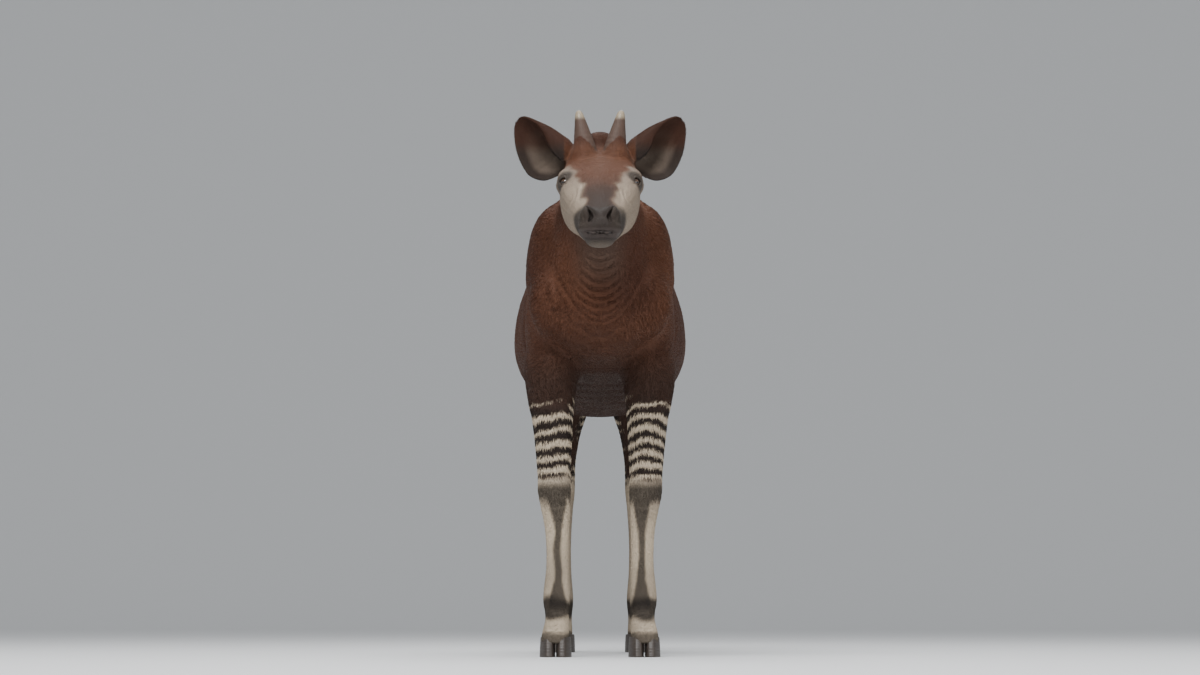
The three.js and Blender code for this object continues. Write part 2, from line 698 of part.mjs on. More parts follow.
// The almond between the lids, cut along the eye's line of sight
function makeLidOpening(side) {
  const opening = new THREE.SphereGeometry(1, 14, 8);
  opening.scale(EYE.radius, EYE.halfLength, EYE.halfHeight);
  opening.translate(EYE.radius, 0, 0);
  opening.rotateZ(-EYE.forward);
  if (side < 0) opening.rotateY(Math.PI);
  opening.translate(...world([side * EYE.side, EYE.fore, EYE.up]).toArray());
  return solidOf(opening);
}

// Finishes

const FINISHES = {
  coat: { color: 0x4a2c1f, roughness: 0.8 },
  stripedLeg: { color: 0xcdbfa8, roughness: 0.8 },
  face: { color: 0x8d7c6b, roughness: 0.8 },
  ear: { color: 0x33211a, roughness: 0.85 },
  horn: { color: 0x6d5643, roughness: 0.6 },
  hoof: { color: 0x2a2523, roughness: 0.5 },
  eye: { color: 0x120c09, roughness: 0.1 },
};

const group = new THREE.Group();

function add(name, solid, finish) {
  const material = new THREE.MeshStandardMaterial({ ...FINISHES[finish], metalness: 0 });
  const mesh = new THREE.Mesh(geometryOf(solid), material);
  mesh.name = name;
  group.add(mesh);
}

const tail = makeTail(0).add(makeTuft());
const tailRoom = makeTail(TAIL_CLEARANCE).intersect(beyondSeam(TAIL_SEAM, 0));
const tailRoot = tail.subtract(beyondSeam(TAIL_SEAM, 0));
add('torso', makeTorso().subtract(tailRoom).add(tailRoot), 'coat');
add('tail', tail.intersect(beyondSeam(TAIL_SEAM, GAP)), 'coat');
add('neck', makeNeck(), 'coat');
let head = makeHead(0);
const headRoom = makeHead(SEAT_CLEARANCE);
for (const side of [1, -1]) {
  const hand = side > 0 ? 'left' : 'right';
  const horn = makeHorn(side, 0);
  const hornSeam = { fore: HORN.baseFore, up: HORN_SEAM_UP, pitch: Math.PI / 2 };
  const hornRoom = makeHorn(side, 1).intersect(beyondSeam(hornSeam, 0));
  head = head.add(horn).subtract(hornRoom);
  add(`horn_${hand}`, horn.intersect(beyondSeam(hornSeam, GAP)), 'horn');
  head = head.subtract(makeNostril(side));
  const eye = makeEye(side, EYE.radius);
  head = head.add(makeEye(side, EYE.radius + LID_THICKNESS))
    .subtract(makeEye(side, EYE.radius + GAP))
    .subtract(makeLidOpening(side));
  add(`eye_${hand}`, eye, 'eye');
  const ear = makeEar(side);
  const [seamPlace, seamNormal] = earSeam(side);
  head = head.add(ear.subtract(beyondPlane(seamPlace, seamNormal, 0)));
  const room = headRoom.add(makeHorn(side, SEAT_CLEARANCE));
  add(`ear_${hand}`, ear.intersect(beyondPlane(seamPlace, seamNormal, GAP)).subtract(room), 'ear');
  add(`leg_front_${hand}`, makeLeg(LEG_BOXES.front, FORELEG_SECTIONS, side), 'stripedLeg');
  add(`leg_hind_${hand}`, makeLeg(LEG_BOXES.hind, HIND_LEG_SECTIONS, side), 'stripedLeg');
  for (const [end, foot] of [['front', FORE_FOOT], ['hind', HIND_FOOT]]) {
    for (const [place, outward] of [['outer', 1], ['inner', -1]]) {
      add(`hoof_${end}_${hand}_${place}`, makeClaw(foot, outward, side), 'hoof');
    }
  }
}
add('head', head.subtract(makeMouth()), 'face');

export default group;
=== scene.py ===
"""A life-size adult male okapi, standing square and looking straight ahead.

Anatomy is written in millimetres as [side, fore, up]: side from the mirror
plane, fore towards the nose from the fore hooves, up from the ground. Meshes
are in metres, and the animal faces -Y.
"""

import math

import bmesh
import bpy
import numpy as np
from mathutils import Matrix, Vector


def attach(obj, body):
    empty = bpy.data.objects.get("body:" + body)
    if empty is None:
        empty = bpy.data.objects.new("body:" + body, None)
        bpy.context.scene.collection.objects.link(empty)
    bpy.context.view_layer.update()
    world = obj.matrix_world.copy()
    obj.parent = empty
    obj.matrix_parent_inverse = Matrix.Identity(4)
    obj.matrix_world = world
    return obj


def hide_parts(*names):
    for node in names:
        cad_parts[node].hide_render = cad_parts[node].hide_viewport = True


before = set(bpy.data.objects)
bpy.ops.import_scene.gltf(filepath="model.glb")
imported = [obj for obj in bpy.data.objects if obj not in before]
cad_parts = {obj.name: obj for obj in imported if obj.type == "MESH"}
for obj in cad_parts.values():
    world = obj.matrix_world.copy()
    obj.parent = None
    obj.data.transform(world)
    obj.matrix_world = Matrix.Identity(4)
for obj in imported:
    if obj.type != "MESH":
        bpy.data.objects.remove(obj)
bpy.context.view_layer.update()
scene = bpy.context.scene
random = np.random.default_rng(11)

MM = 0.001
MIDDLE_TO_FORE_HOOVES = 235.65

# Camera: a long lens near the ground, as the photo's floor ellipse shows
PHOTO_WIDTH = 1200
HORIZON_BELOW_CENTRE = 273.5
LENS = 85.0
SENSOR = 36.0
CAMERA_DISTANCE = 9.6
CAMERA_HEIGHT = 0.154

SKIN_PITCH = 8.0
BODY_COAT = 5.0
FACE_COAT = 1.6
CORONET_HEIGHT = 67.0
SKIN_END_UP = 44.0

EYE = np.array([103.5, 563.5, 1526.0])
EYE_RADIUS = 23.0
EYE_FORWARD = 0.8
EYE_TILT = -0.2
LID_REACH = 26.6
LID_HALF_LENGTH = 19.0
LID_HALF_HEIGHT = 16.0

TRUNK_LEVELS = [
    # fore, back line, widest height, belly line, half width
    (-1150, 1366, 1190, 1045, 108),
    (-1090, 1406, 1190, 995, 155),
    (-985, 1450, 1190, 950, 200),
    (-800, 1452, 1160, 898, 250),
    (-580, 1464, 1108, 846, 304),
    (-390, 1492, 1120, 862, 296),
    (-190, 1545, 1170, 918, 262),
    (-30, 1590, 1200, 958, 243),
    (90, 1540, 1200, 1000, 208),
    (165, 1440, 1205, 1062, 145),
]

# Sections of a limb: side, fore, up, half width, reach over and reach under
NECK_SECTIONS = [
    (0, 40, 1358, 188, 240, 190),
    (0, 190, 1440, 146, 208, 182),
    (0, 300, 1503, 116, 178, 160),
    (0, 392, 1565, 102, 142, 134),
    (0, 425, 1590, 98, 118, 120),
]
HEAD_SECTIONS = [
    (0, 392, 1646, 88, 20, 90),
    (0, 447, 1603, 110, 42, 138),
    (0, 545, 1526, 127, 58, 160),
    (0, 628, 1463, 113, 60, 152),
    (0, 707, 1405, 86, 54, 112),
    (0, 762, 1366, 69, 50, 72),
    (0, 800, 1343, 60, 40, 44),
]
HORN_ROOT_SECTIONS = [
    (46, 452, 1620, 46, 46, 46),
    (49, 451, 1652, 39, 39, 39),
    (52, 446, 1676, 34, 34, 34),
    (54, 444, 1690, 31, 31, 31),
]
FORELEG_SECTIONS = [
    (165, -30, 975, 84, 105, 110),
    (163, -28, 869, 82, 88, 92),
    (157, -16, 790, 72, 74, 78),
    (152, -2, 625, 60, 56, 58),
    (150, 6, 548, 59, 57, 55),
    (143, 2, 459, 48, 43, 47),
    (140, -2, 394, 43, 40, 44),
    (139, -4, 304, 42, 40, 45),
    (142, -4, 197, 48, 47, 54),
    (140, 12, 131, 42, 42, 42),
    (146, 25, 78, 47, 48, 52),
    (148, 28, 50, 48, 50, 54),
]
HIND_LEG_SECTIONS = [
    (140, -1000, 950, 104, 152, 168),
    (143, -1012, 880, 96, 130, 140),
    (146, -1030, 810, 78, 98, 106),
    (145, -1066, 726, 62, 66, 78),
    (143, -1096, 660, 56, 56, 76),
    (141, -1110, 600, 53, 51, 58),
    (140, -1113, 530, 45, 43, 48),
    (141, -1110, 424, 40, 39, 44),
    (141, -1107, 300, 40, 39, 44),
    (142, -1104, 200, 47, 46, 54),
    (141, -1090, 134, 41, 41, 43),
    (145, -1077, 78, 47, 48, 52),
    (146, -1074, 50, 48, 50, 54),
]
TAIL_SECTIONS = [
    (0, -1165, 1346, 36, 34, 34),
    (0, -1222, 1337, 30, 30, 30),
    (0, -1268, 1290, 24, 24, 24),
    (0, -1290, 1190, 19, 18, 18),
    (0, -1292, 1096, 16, 14, 14),
    (0, -1288, 1034, 22, 17, 17),
    (0, -1284, 974, 21, 16, 16),
    (0, -1282, 928, 10, 8, 8),
]

# Muscles and bones: place, reach [side, fore, up], pitch, blend
MASSES = {
    "scapula": ((158, 15, 1330), (86, 120, 190), -0.35, 60),
    "shoulder_point": ((158, 122, 1180), (78, 84, 110), 0, 50),
    "upper_arm": ((168, -62, 1085), (82, 128, 150), 0.5, 50),
    "forearm": ((160, -25, 960), (84, 104, 110), 0, 40),
    "breast": ((74, 142, 1112), (74, 72, 78), 0, 34),
    "thigh": ((132, -1010, 1120), (118, 178, 262), 0.1, 60),
    "buttock": ((92, -1146, 1110), (88, 76, 200), -0.05, 50),
    "stifle": ((160, -905, 985), (72, 84, 112), 0.2, 50),
    "hip_bone": ((150, -905, 1368), (62, 60, 46), 0, 60),
    "hock_point": ((143, -1160, 690), (22, 26, 52), 0.12, 26),
    "cheek": ((74, 550, 1446), (38, 92, 64), -0.55, 40),
    "orbit": ((114, 528, 1523), (25, 30, 26), 0, 18),
    "brow": ((94, 540, 1553), (34, 40, 22), -0.4, 24),
    "poll": ((0, 370, 1682), (56, 42, 48), 0, 24),
    "horn_boss": ((50, 452, 1626), (42, 44, 36), 0, 24),
    "nostril_wing": ((36, 802, 1388), (25, 27, 32), -0.3, 26),
    "upper_lip": ((27, 800, 1347), (34, 30, 17), -0.1, 22),
    "lower_lip": ((16, 796, 1320), (32, 24, 12), 0, 14),
    "chin": ((0, 766, 1309), (38, 30, 20), 0, 24),
}


# The anatomy as one field: negative inside the flesh, about a distance in mm


def smooth_minimum(a, b, blend):
    overlap = np.maximum(blend - np.abs(a - b), 0) / blend
    return np.minimum(a, b) - overlap * overlap * blend * 0.25


def smooth_maximum(a, b, blend):
    return -smooth_minimum(-a, -b, blend)


def smooth_step(low, high, value):
    t = np.clip((value - low) / (high - low), 0, 1)
    return t * t * (3 - 2 * t)


def radial_distance(length, norm, smallest):
    return np.where(norm > 1e-6, length * (1 - 1 / np.maximum(norm, 1e-6)), -smallest)


def catmull_rom(rows, per_span):
    rows = np.asarray(rows, float)
    padded = np.vstack([rows[:1], rows, rows[-1:]])
    t = (np.arange(per_span) / per_span)[:, None]
    spans = []
    for a, b, c, d in zip(padded, padded[1:], padded[2:], padded[3:]):
        spans.append(
            0.5 * (2 * b + (c - a) * t + (2 * a - 5 * b + 4 * c - d) * t**2 + (3 * b - a - 3 * c + d) * t**3)
        )
    return np.vstack(spans + [rows[-1:]])


class Limb:
    """A run of rounded sections along a spine in the mirror plane's direction."""

    def __init__(self, sections, squareness=2.0, blend=40.0, cap=0.8):
        self.stations = catmull_rom(sections, 6)
        self.squareness = squareness
        self.blend = blend
        self.cap = cap
        reach = self.stations[:, 3:].max() + blend + 30
        self.low = self.stations[:, 1:3].min(0) - reach
        self.high = self.stations[:, 1:3].max(0) + reach

    def place(self, points):
        """Nearest place on the spine: span number and fraction along it."""
        flat = points[:, 1:3]
        start = self.stations[:-1, 1:3]
        run = np.diff(self.stations[:, 1:3], axis=0)
        best = np.full(len(points), np.inf)
        span = np.zeros(len(points), int)
        fraction = np.zeros(len(points))
        for i, (a, d) in enumerate(zip(start, run)):
            t = np.clip(((flat - a) @ d) / (d @ d), 0, 1)
            error = flat - a - t[:, None] * d
            squared = np.einsum("ij,ij->i", error, error)
            closer = squared < best
            best[closer] = squared[closer]
            span[closer] = i
            fraction[closer] = t[closer]
        return span, fraction

    def polar(self, points):
        """Along the spine from 0 to 1, and the turn round it."""
        span, fraction = self.place(points)
        here = self.stations[span] + (self.stations[span + 1] - self.stations[span]) * fraction[:, None]
        run = self.stations[span + 1, 1:3] - self.stations[span, 1:3]
        error = points[:, 1:3] - here[:, 1:3]
        depth = (error[:, 1] * run[:, 0] - error[:, 0] * run[:, 1]) / np.linalg.norm(run, axis=1)
        turn = np.arctan2(points[:, 0] - here[:, 0], depth)
        return (span + fraction) / (len(self.stations) - 1), turn

    def distance(self, points):
        far = np.full(len(points), 1e4)
        near = np.all((points[:, 1:3] > self.low) & (points[:, 1:3] < self.high), axis=1)
        if not near.any():
            return far
        p = points[near]
        span, fraction = self.place(p)
        a, b = self.stations[span], self.stations[span + 1]
        here = a + (b - a) * fraction[:, None]
        run = b[:, 1:3] - a[:, 1:3]
        run = run / np.linalg.norm(run, axis=1)[:, None]
        error = p[:, 1:3] - here[:, 1:3]
        depth = error[:, 1] * run[:, 0] - error[:, 0] * run[:, 1]
        beyond = np.abs((error * run).sum(1))
        lateral = np.abs(p[:, 0] - here[:, 0])
        reach_side = here[:, 3]
        reach_depth = np.where(depth > 0, here[:, 4], here[:, 5])
        smallest = np.minimum(reach_side, reach_depth)
        n = self.squareness
        norm = (
            (lateral / reach_side) ** n
            + (np.abs(depth) / reach_depth) ** n
            + (beyond / (self.cap * smallest)) ** n
        ) ** (1 / n)
        length = np.sqrt(lateral**2 + depth**2 + beyond**2)
        far[near] = radial_distance(length, norm, smallest)
        return far


class Mass:
    """A rounded muscle or bone, pitched in the mirror plane."""

    def __init__(self, at, reach, pitch, blend):
        self.at = np.array(at, float)
        self.reach = np.array(reach, float)
        self.turn = (math.cos(pitch), math.sin(pitch))
        self.blend = blend

    def distance(self, points):
        far = np.full(len(points), 1e4)
        margin = self.reach.max() + self.blend + 40
        near = np.all(np.abs(points - self.at) < margin, axis=1)
        cosine, sine = self.turn
        offset = points[near] - self.at
        local = np.column_stack([
            offset[:, 0],
            offset[:, 1] * cosine + offset[:, 2] * sine,
            offset[:, 2] * cosine - offset[:, 1] * sine,
        ])
        norm = np.linalg.norm(local / self.reach, axis=1)
        far[near] = radial_distance(np.linalg.norm(local, axis=1), norm, self.reach.min())
        return far


def level_to_section(fore, back, widest, belly, side):
    return (0, fore, widest, side, back - widest, widest - belly)


TRUNK = Limb([level_to_section(*level) for level in TRUNK_LEVELS], 2.1, 60)
HORN_ROOT = Limb(HORN_ROOT_SECTIONS, 2.0, 16, 0.3)
NECK = Limb(NECK_SECTIONS, 2.1, 90, 0.4)
HEAD = Limb(HEAD_SECTIONS, 2.05, 40)
FORELEG = Limb(FORELEG_SECTIONS, 2.15, 46)
HIND_LEG = Limb(HIND_LEG_SECTIONS, 2.15, 60)
TAIL = Limb(TAIL_SECTIONS, 2.0, 12)
FORMS = [TRUNK, NECK, HEAD, FORELEG, HIND_LEG, HORN_ROOT, *(Mass(*m) for m in MASSES.values())]
SOFT_MIRROR = 8.0


def mirrored(points):
    """The same places on the positive side, rounded where the sides meet."""
    folded = points.copy()
    folded[:, 0] = np.sqrt(points[:, 0] ** 2 + SOFT_MIRROR**2) - SOFT_MIRROR * 0.5
    return folded


def one_side(points):
    """The same places, all on the positive side."""
    folded = points.copy()
    folded[:, 0] = np.abs(folded[:, 0])
    return folded


def from_eye(points):
    """How far places are from the middle of the nearer eye."""
    return np.linalg.norm(one_side(points) - EYE, axis=1)


def flesh(points):
    folded = mirrored(points)
    value = FORMS[0].distance(folded)
    for form in FORMS[1:]:
        value = smooth_minimum(value, form.distance(folded), form.blend)
    value = smooth_minimum(value, TAIL.distance(folded), TAIL.blend)
    return smooth_maximum(value, SKIN_END_UP - points[:, 2], 6)


def to_mm(points):
    fore = -points[:, 1] - MIDDLE_TO_FORE_HOOVES * MM
    return np.column_stack([points[:, 0], fore, points[:, 2]]) / MM


def to_metres(places):
    places = np.atleast_2d(places)
    return np.column_stack([places[:, 0], -places[:, 1] - MIDDLE_TO_FORE_HOOVES, places[:, 2]]) * MM


# Folds and creases, laid on the surface by marching to it from one side


def march(start, direction, farthest):
    """The first place on the flesh along each ray."""
    reach = np.zeros(len(start))
    low = np.zeros(len(start))
    hit = np.zeros(len(start), bool)
    for _ in range(70):
        value = flesh(start + reach[:, None] * direction)
        hit |= value < 0
        if hit.all():
            break
        moving = ~hit & (reach < farthest)
        low[moving] = reach[moving]
        reach[moving] += np.clip(value[moving] * 0.6, 2.0, 120.0)
    high = reach
    for _ in range(7):
        middle = (low + high) / 2
        inside = flesh(start + middle[:, None] * direction) < 0
        high = np.where(inside, middle, high)
        low = np.where(inside, low, middle)
    return start + high[:, None] * direction


def from_front(route, fore=900.0):
    """Rays through places given as (side, up), from in front."""
    route = np.asarray(route, float)
    start = np.column_stack([route[:, 0], np.full(len(route), fore), route[:, 1]])
    return start, (0, -1, 0)


def from_side(route):
    """Rays through places given as (fore, up), from the animal's left."""
    route = np.asarray(route, float)
    return np.column_stack([np.full(len(route), 380.0), route]), (-1, 0, 0)


def from_below(route, up=760.0):
    """Rays through places given as (side, fore), from under the belly."""
    route = np.asarray(route, float)
    return np.column_stack([route, np.full(len(route), up)]), (0, 0, 1)


class Crease:
    """A groove of a width and depth in mm along a route; a ridge has less than no depth."""

    def __init__(self, rays, width, depth):
        self.start, self.direction = rays
        self.width = width
        self.depth = depth

    def lay(self, route):
        self.route = catmull_rom(route, 4)
        self.low = self.route.min(0) - 3 * self.width
        self.high = self.route.max(0) + 3 * self.width

    def press(self, points, value):
        near = np.all((points > self.low) & (points < self.high), axis=1)
        if not near.any():
            return
        p = points[near]
        best = np.full(len(p), np.inf)
        along = np.zeros(len(p))
        spans = len(self.route) - 1
        for i in range(spans):
            a = self.route[i]
            d = self.route[i + 1] - a
            t = np.clip(((p - a) @ d) / max(d @ d, 1e-9), 0, 1)
            squared = ((p - a - t[:, None] * d) ** 2).sum(1)
            closer = squared < best
            best[closer] = squared[closer]
            along[closer] = (i + t[closer]) / spans
        strength = np.exp(-best / self.width**2)
        strength *= smooth_step(0, 0.18, along) * smooth_step(1, 0.82, along)
        value[near] += self.depth * strength


def u_fold(bottom_up, half_width, rise, width, depth):
    """A skin fold that hangs across the throat like a U."""
    side = np.linspace(-half_width, half_width, 9)
    up = bottom_up + rise * (side / half_width) ** 2
    return Crease(from_front(np.column_stack([side, up]), fore=620.0), width, depth)


def throat_folds():
    folds = []
    for number, up in enumerate((1322, 1293, 1262, 1232, 1205, 1180, 1152)):
        folds.append(u_fold(up, 50 + 7 * number, 26 + 5 * number, 6.0, 7.5))
        folds.append(u_fold(up - 14, 44 + 7 * number, 24 + 5 * number, 7.0, -4.0))
    folds.append(u_fold(1104, 150, 170, 8.0, 9.0))
    folds.append(u_fold(1122, 120, 150, 6.0, 5.0))
    return folds


def lay_creases(creases):
    """Marches every route to the surface at once."""
    start = np.vstack([crease.start for crease in creases])
    direction = np.vstack([np.tile(crease.direction, (len(crease.start), 1)) for crease in creases])
    laid = march(start, direction, 1300.0)
    first = 0
    for crease in creases:
        crease.lay(laid[first:first + len(crease.start)])
        first += len(crease.start)
    return creases


def body_creases():
    creases = throat_folds()
    breast = [
        ([(0, 1046), (30, 1062), (60, 1084), (84, 1096)], 8, 8),
        ([(4, 1072), (32, 1092), (58, 1106)], 6, 4),
        ([(0, 1030), (0, 1070), (0, 1110), (0, 1150)], 7, 6),
        ([(96, 1250), (104, 1200), (92, 1150), (66, 1110)], 14, 5),
        ([(70, 905), (98, 935), (120, 968), (132, 1000)], 9, 6),
        ([(84, 872), (112, 905), (140, 922)], 8, 4),
        ([(176, 1262), (160, 1205), (150, 1150)], 16, -5),
    ]
    creases += [Crease(from_front(route), width, depth) for route, width, depth in breast]
    flank = [
        ([(-130, 1330), (-176, 1220), (-196, 1110), (-172, 1010), (-130, 950)], 26, 12),
        ([(60, 1420), (20, 1340), (-20, 1270), (-10, 1200)], 30, 4),
        ([(-64, 1460), (-40, 1380), (-6, 1300), (60, 1230)], 32, -4),
        ([(-60, 1180), (-120, 1110), (-110, 1030)], 18, 4),
        ([(-800, 1330), (-806, 1240), (-812, 1150), (-822, 1060), (-840, 980)], 44, 8),
        ([(-1010, 1330), (-1062, 1220), (-1096, 1100), (-1100, 990), (-1080, 900)], 30, 5),
        ([(-890, 1240), (-880, 1120), (-900, 1040)], 22, -4),
        ([(-1090, 880), (-1118, 810), (-1140, 740), (-1146, 690)], 12, 9),
        ([(-1040, 840), (-1078, 770), (-1100, 700)], 12, -3),
    ]
    creases += [Crease(from_side(route), width, depth) for route, width, depth in flank]
    for number in range(7):
        fore = -250 - 74 * number
        rib = [(fore, 1330), (fore - 26, 1220), (fore - 40, 1110), (fore - 30, 1010), (fore + 10, 930)]
        creases.append(Crease(from_side(rib), 20, 1.3))
    for number in range(8):
        fore = -130 - 56 * number
        ripple = [(0, fore), (50, fore - 4), (96, fore - 14), (136, fore - 30)]
        creases.append(Crease(from_below(ripple), 13, 3.5))
    return creases


def leg_creases():
    creases = []
    for side, depth in ((0, 3.6), (-24, 2.2), (24, 2.2)):
        cannon = [(141 + side, 500), (140 + side, 400), (139 + side, 300), (141 + side, 225)]
        creases.append(Crease(from_front(cannon, fore=200), 5, depth))
    forearm = [(163, 860), (157, 780), (152, 690), (151, 610)]
    creases.append(Crease(from_front(forearm, fore=260), 7, 4))
    creases.append(Crease(from_front([(185, 830), (176, 740), (168, 650)], fore=260), 8, 3))
    knee = [
        ([(118, 585), (148, 592), (180, 584)], 5, 2.6),
        ([(118, 512), (146, 504), (176, 512)], 6, 3.2),
        ([(130, 575), (129, 548), (133, 522)], 8, -2.5),
        ([(168, 575), (170, 548), (165, 522)], 8, -2.5),
    ]
    creases += [Crease(from_front(route, fore=220), width, depth) for route, width, depth in knee]
    pastern = [
        ([(120, 160), (142, 154), (166, 160)], 5, 2.2),
        ([(148, 112), (148, 92), (148, 72)], 4, 5),
        ([(112, 84), (130, 88), (148, 85), (166, 88), (186, 84)], 4, -2.5),
    ]
    creases += [Crease(from_front(route, fore=220), width, depth) for route, width, depth in pastern]
    tendons = [
        ([(-26, 500), (-26, 400), (-26, 300), (-28, 230)], 5, 3),
        ([(-1136, 560), (-1132, 440), (-1130, 320), (-1132, 235)], 5, 3),
        ([(-1092, 640), (-1100, 590), (-1098, 560)], 8, 2.5),
        ([(-30, 180), (-8, 168), (14, 150)], 5, 2),
    ]
    creases += [Crease(from_side(route), width, depth) for route, width, depth in tendons]
    return creases


def face_creases():
    creases = []
    front = [
        # forehead wrinkles and the folds round the horn bases
        ([(-24, 1606), (0, 1602), (24, 1606)], 3.0, 2.0),
        ([(-30, 1588), (0, 1583), (30, 1588)], 3.0, 1.2),
        ([(28, 1632), (56, 1630), (82, 1644)], 3.5, 2.2),
        ([(0, 1660), (12, 1650), (24, 1645)], 4.0, 1.6),
        # brow fold and the crest from the eye down the face
        ([(60, 1578), (84, 1584), (104, 1574)], 4.0, 2.2),
        ([(84, 1506), (76, 1480), (84, 1452), (100, 1424)], 4.0, 3.0),
        ([(66, 1500), (70, 1470), (80, 1440)], 5.0, -3.0),
        ([(54, 1520), (60, 1488), (66, 1462), (64, 1436)], 4.4, 3.0),
        ([(44, 1560), (48, 1520), (44, 1480), (40, 1440)], 9.0, -2.0),
        # folds outside and under the nostrils
        ([(52, 1432), (58, 1408), (56, 1386), (48, 1370)], 4.0, 3.6),
        ([(64, 1420), (66, 1396), (60, 1374)], 3.0, 1.2),
        ([(42, 1362), (52, 1360), (62, 1352)], 3.0, 1.4),
        ([(0, 1366), (0, 1352), (0, 1336)], 2.0, 2.2),
        ([(12, 1376), (15, 1362), (20, 1354)], 2.4, 1.0),
        # lower lip and chin
        ([(-30, 1309), (0, 1306), (30, 1309)], 3.0, 1.8),
    ]
    creases += [Crease(from_front(route), width, depth) for route, width, depth in front]
    side = [
        ([(560, 1480), (600, 1446), (650, 1420), (700, 1396)], 7.0, -1.6),
        ([(590, 1500), (640, 1468), (690, 1436), (740, 1408)], 4.0, 1.2),
        ([(452, 1580), (436, 1520), (440, 1450), (466, 1390)], 12.0, 4.0),
        ([(610, 1406), (650, 1380), (700, 1352)], 5.0, 0.8),
    ]
    creases += [Crease(from_side(route), width, depth) for route, width, depth in side]
    return creases


MOUTH_LINE = np.array([(0, 1332), (14, 1330), (30, 1330), (42, 1331), (52, 1333)], float)


def mouth_crease():
    line = np.vstack([MOUTH_LINE[::-1] * np.array([-1, 1]), MOUTH_LINE[1:]])
    return Crease(from_front(line), 3.2, 9.0)


NOSTRIL_ROUTE = np.array([(42, 1413), (33, 1396), (27, 1381), (34, 1367)], float)
NOSTRIL_HALF_WIDTHS = np.array([1.6, 4.0, 6.0, 3.4])
NOSTRIL_FLOOR = 809.0


def cut_nostrils(points, value):
    """Comma-shaped nostrils that open forward and run in behind the wings."""
    near = (points[:, 1] > 770) & (points[:, 2] > 1340) & (points[:, 2] < 1430)
    p = points[near]
    flat = np.column_stack([np.abs(p[:, 0]), p[:, 2]])
    rows = catmull_rom(np.column_stack([NOSTRIL_ROUTE, NOSTRIL_HALF_WIDTHS]), 4)
    best = np.full(len(p), np.inf)
    for a, b in zip(rows, rows[1:]):
        d = b[:2] - a[:2]
        t = np.clip(((flat - a[:2]) @ d) / (d @ d), 0, 1)
        gap = np.linalg.norm(flat - a[:2] - t[:, None] * d, axis=1) - (a[2] + (b[2] - a[2]) * t)
        best = np.minimum(best, gap)
    hole = np.maximum(best, NOSTRIL_FLOOR - p[:, 1])
    value[near] = smooth_maximum(value[near], -hole, 5)


def eye_axes():
    outward = np.array([math.cos(EYE_FORWARD), math.sin(EYE_FORWARD), 0])
    nosewards = np.array([-math.sin(EYE_FORWARD), math.cos(EYE_FORWARD), 0])
    upward = np.array([0, 0, 1.0])
    length = nosewards * math.cos(EYE_TILT) + upward * math.sin(EYE_TILT)
    height = upward * math.cos(EYE_TILT) - nosewards * math.sin(EYE_TILT)
    return outward, length, height


def shape_lids(points, value):
    """Lids over the eyeball, the almond between them and the folds round them."""
    folded = one_side(points)
    offset = folded - EYE
    near = np.linalg.norm(offset, axis=1) < 75
    offset = offset[near]
    outward, length, height = eye_axes()
    w, u, v = offset @ outward, offset @ length, offset @ height
    radius = np.linalg.norm(offset, axis=1)
    rim = np.where(v > 0, LID_HALF_HEIGHT, LID_HALF_HEIGHT * 0.62)
    stretch = np.clip(1 - (u / LID_HALF_LENGTH) ** 2, -1.5, 1)
    almond = (np.abs(v) - rim * stretch) * 0.85
    body = smooth_minimum(value[near], radius - LID_REACH, 12)
    front = smooth_step(0, 10, w)
    folds = (
        1.5 * np.exp(-((almond - 6.5) / 1.6) ** 2) * (v > 0)
        + 1.1 * np.exp(-((almond - 12.0) / 2.0) ** 2)
        + 1.2 * np.exp(-((almond - 6.0) / 1.8) ** 2) * (v < 0)
        - 1.1 * np.exp(-((almond - 2.2) / 1.8) ** 2)
        - 1.4 * np.exp(-((almond - 9.2) / 2.2) ** 2) * (v > 0)
        + 0.8 * np.exp(-((almond - 17.0) / 2.4) ** 2)
    )
    body = body + folds * front
    tear = np.exp(-(((u - 25) / 7) ** 2 + ((v + 3) / 2.2) ** 2))
    body = body + 2.6 * tear * front
    opening = np.maximum(np.maximum(almond, 18.5 - radius), 4 - w)
    value[near] = smooth_maximum(body, -opening, 1.6)


def coat_depth(points):
    """How far the skin lies inside the tips of the coat."""
    to_face = smooth_step(380, 520, points[:, 1])
    to_foot = smooth_step(420, 160, points[:, 2])
    return BODY_COAT + (FACE_COAT - BODY_COAT) * np.maximum(to_face, to_foot * 0.7)


def coarse_skin(points):
    return flesh(points) + coat_depth(points)


def fine_skin(points):
    value = flesh(points) + coat_depth(points)
    folded = one_side(points)
    for crease in CREASES:
        crease.press(folded, value)
    cut_nostrils(points, value)
    shape_lids(points, value)
    return value


CREASES = lay_creases(body_creases() + leg_creases() + face_creases() + [mouth_crease()])


# Mesh tools


def mesh_object(name, vertices, faces):
    mesh = bpy.data.meshes.new(name)
    mesh.from_pydata([tuple(v) for v in vertices], [], [tuple(f) for f in faces])
    mesh.update()
    piece = bpy.data.objects.new(name, mesh)
    scene.collection.objects.link(piece)
    return piece


def rows_of(items, name, width, kind=float):
    flat = np.empty(len(items) * width, dtype=kind)
    items.foreach_get(name, flat)
    return flat.reshape(-1, width)


def vertex_places(mesh):
    return rows_of(mesh.vertices, "co", 3)


def set_places(mesh, places):
    mesh.vertices.foreach_set("co", np.ascontiguousarray(places, dtype=np.float32).ravel())
    mesh.update()


def vertex_normals(mesh):
    return rows_of(mesh.vertices, "normal", 3)


def edge_pairs(mesh):
    return rows_of(mesh.edges, "vertices", 2, np.int32)


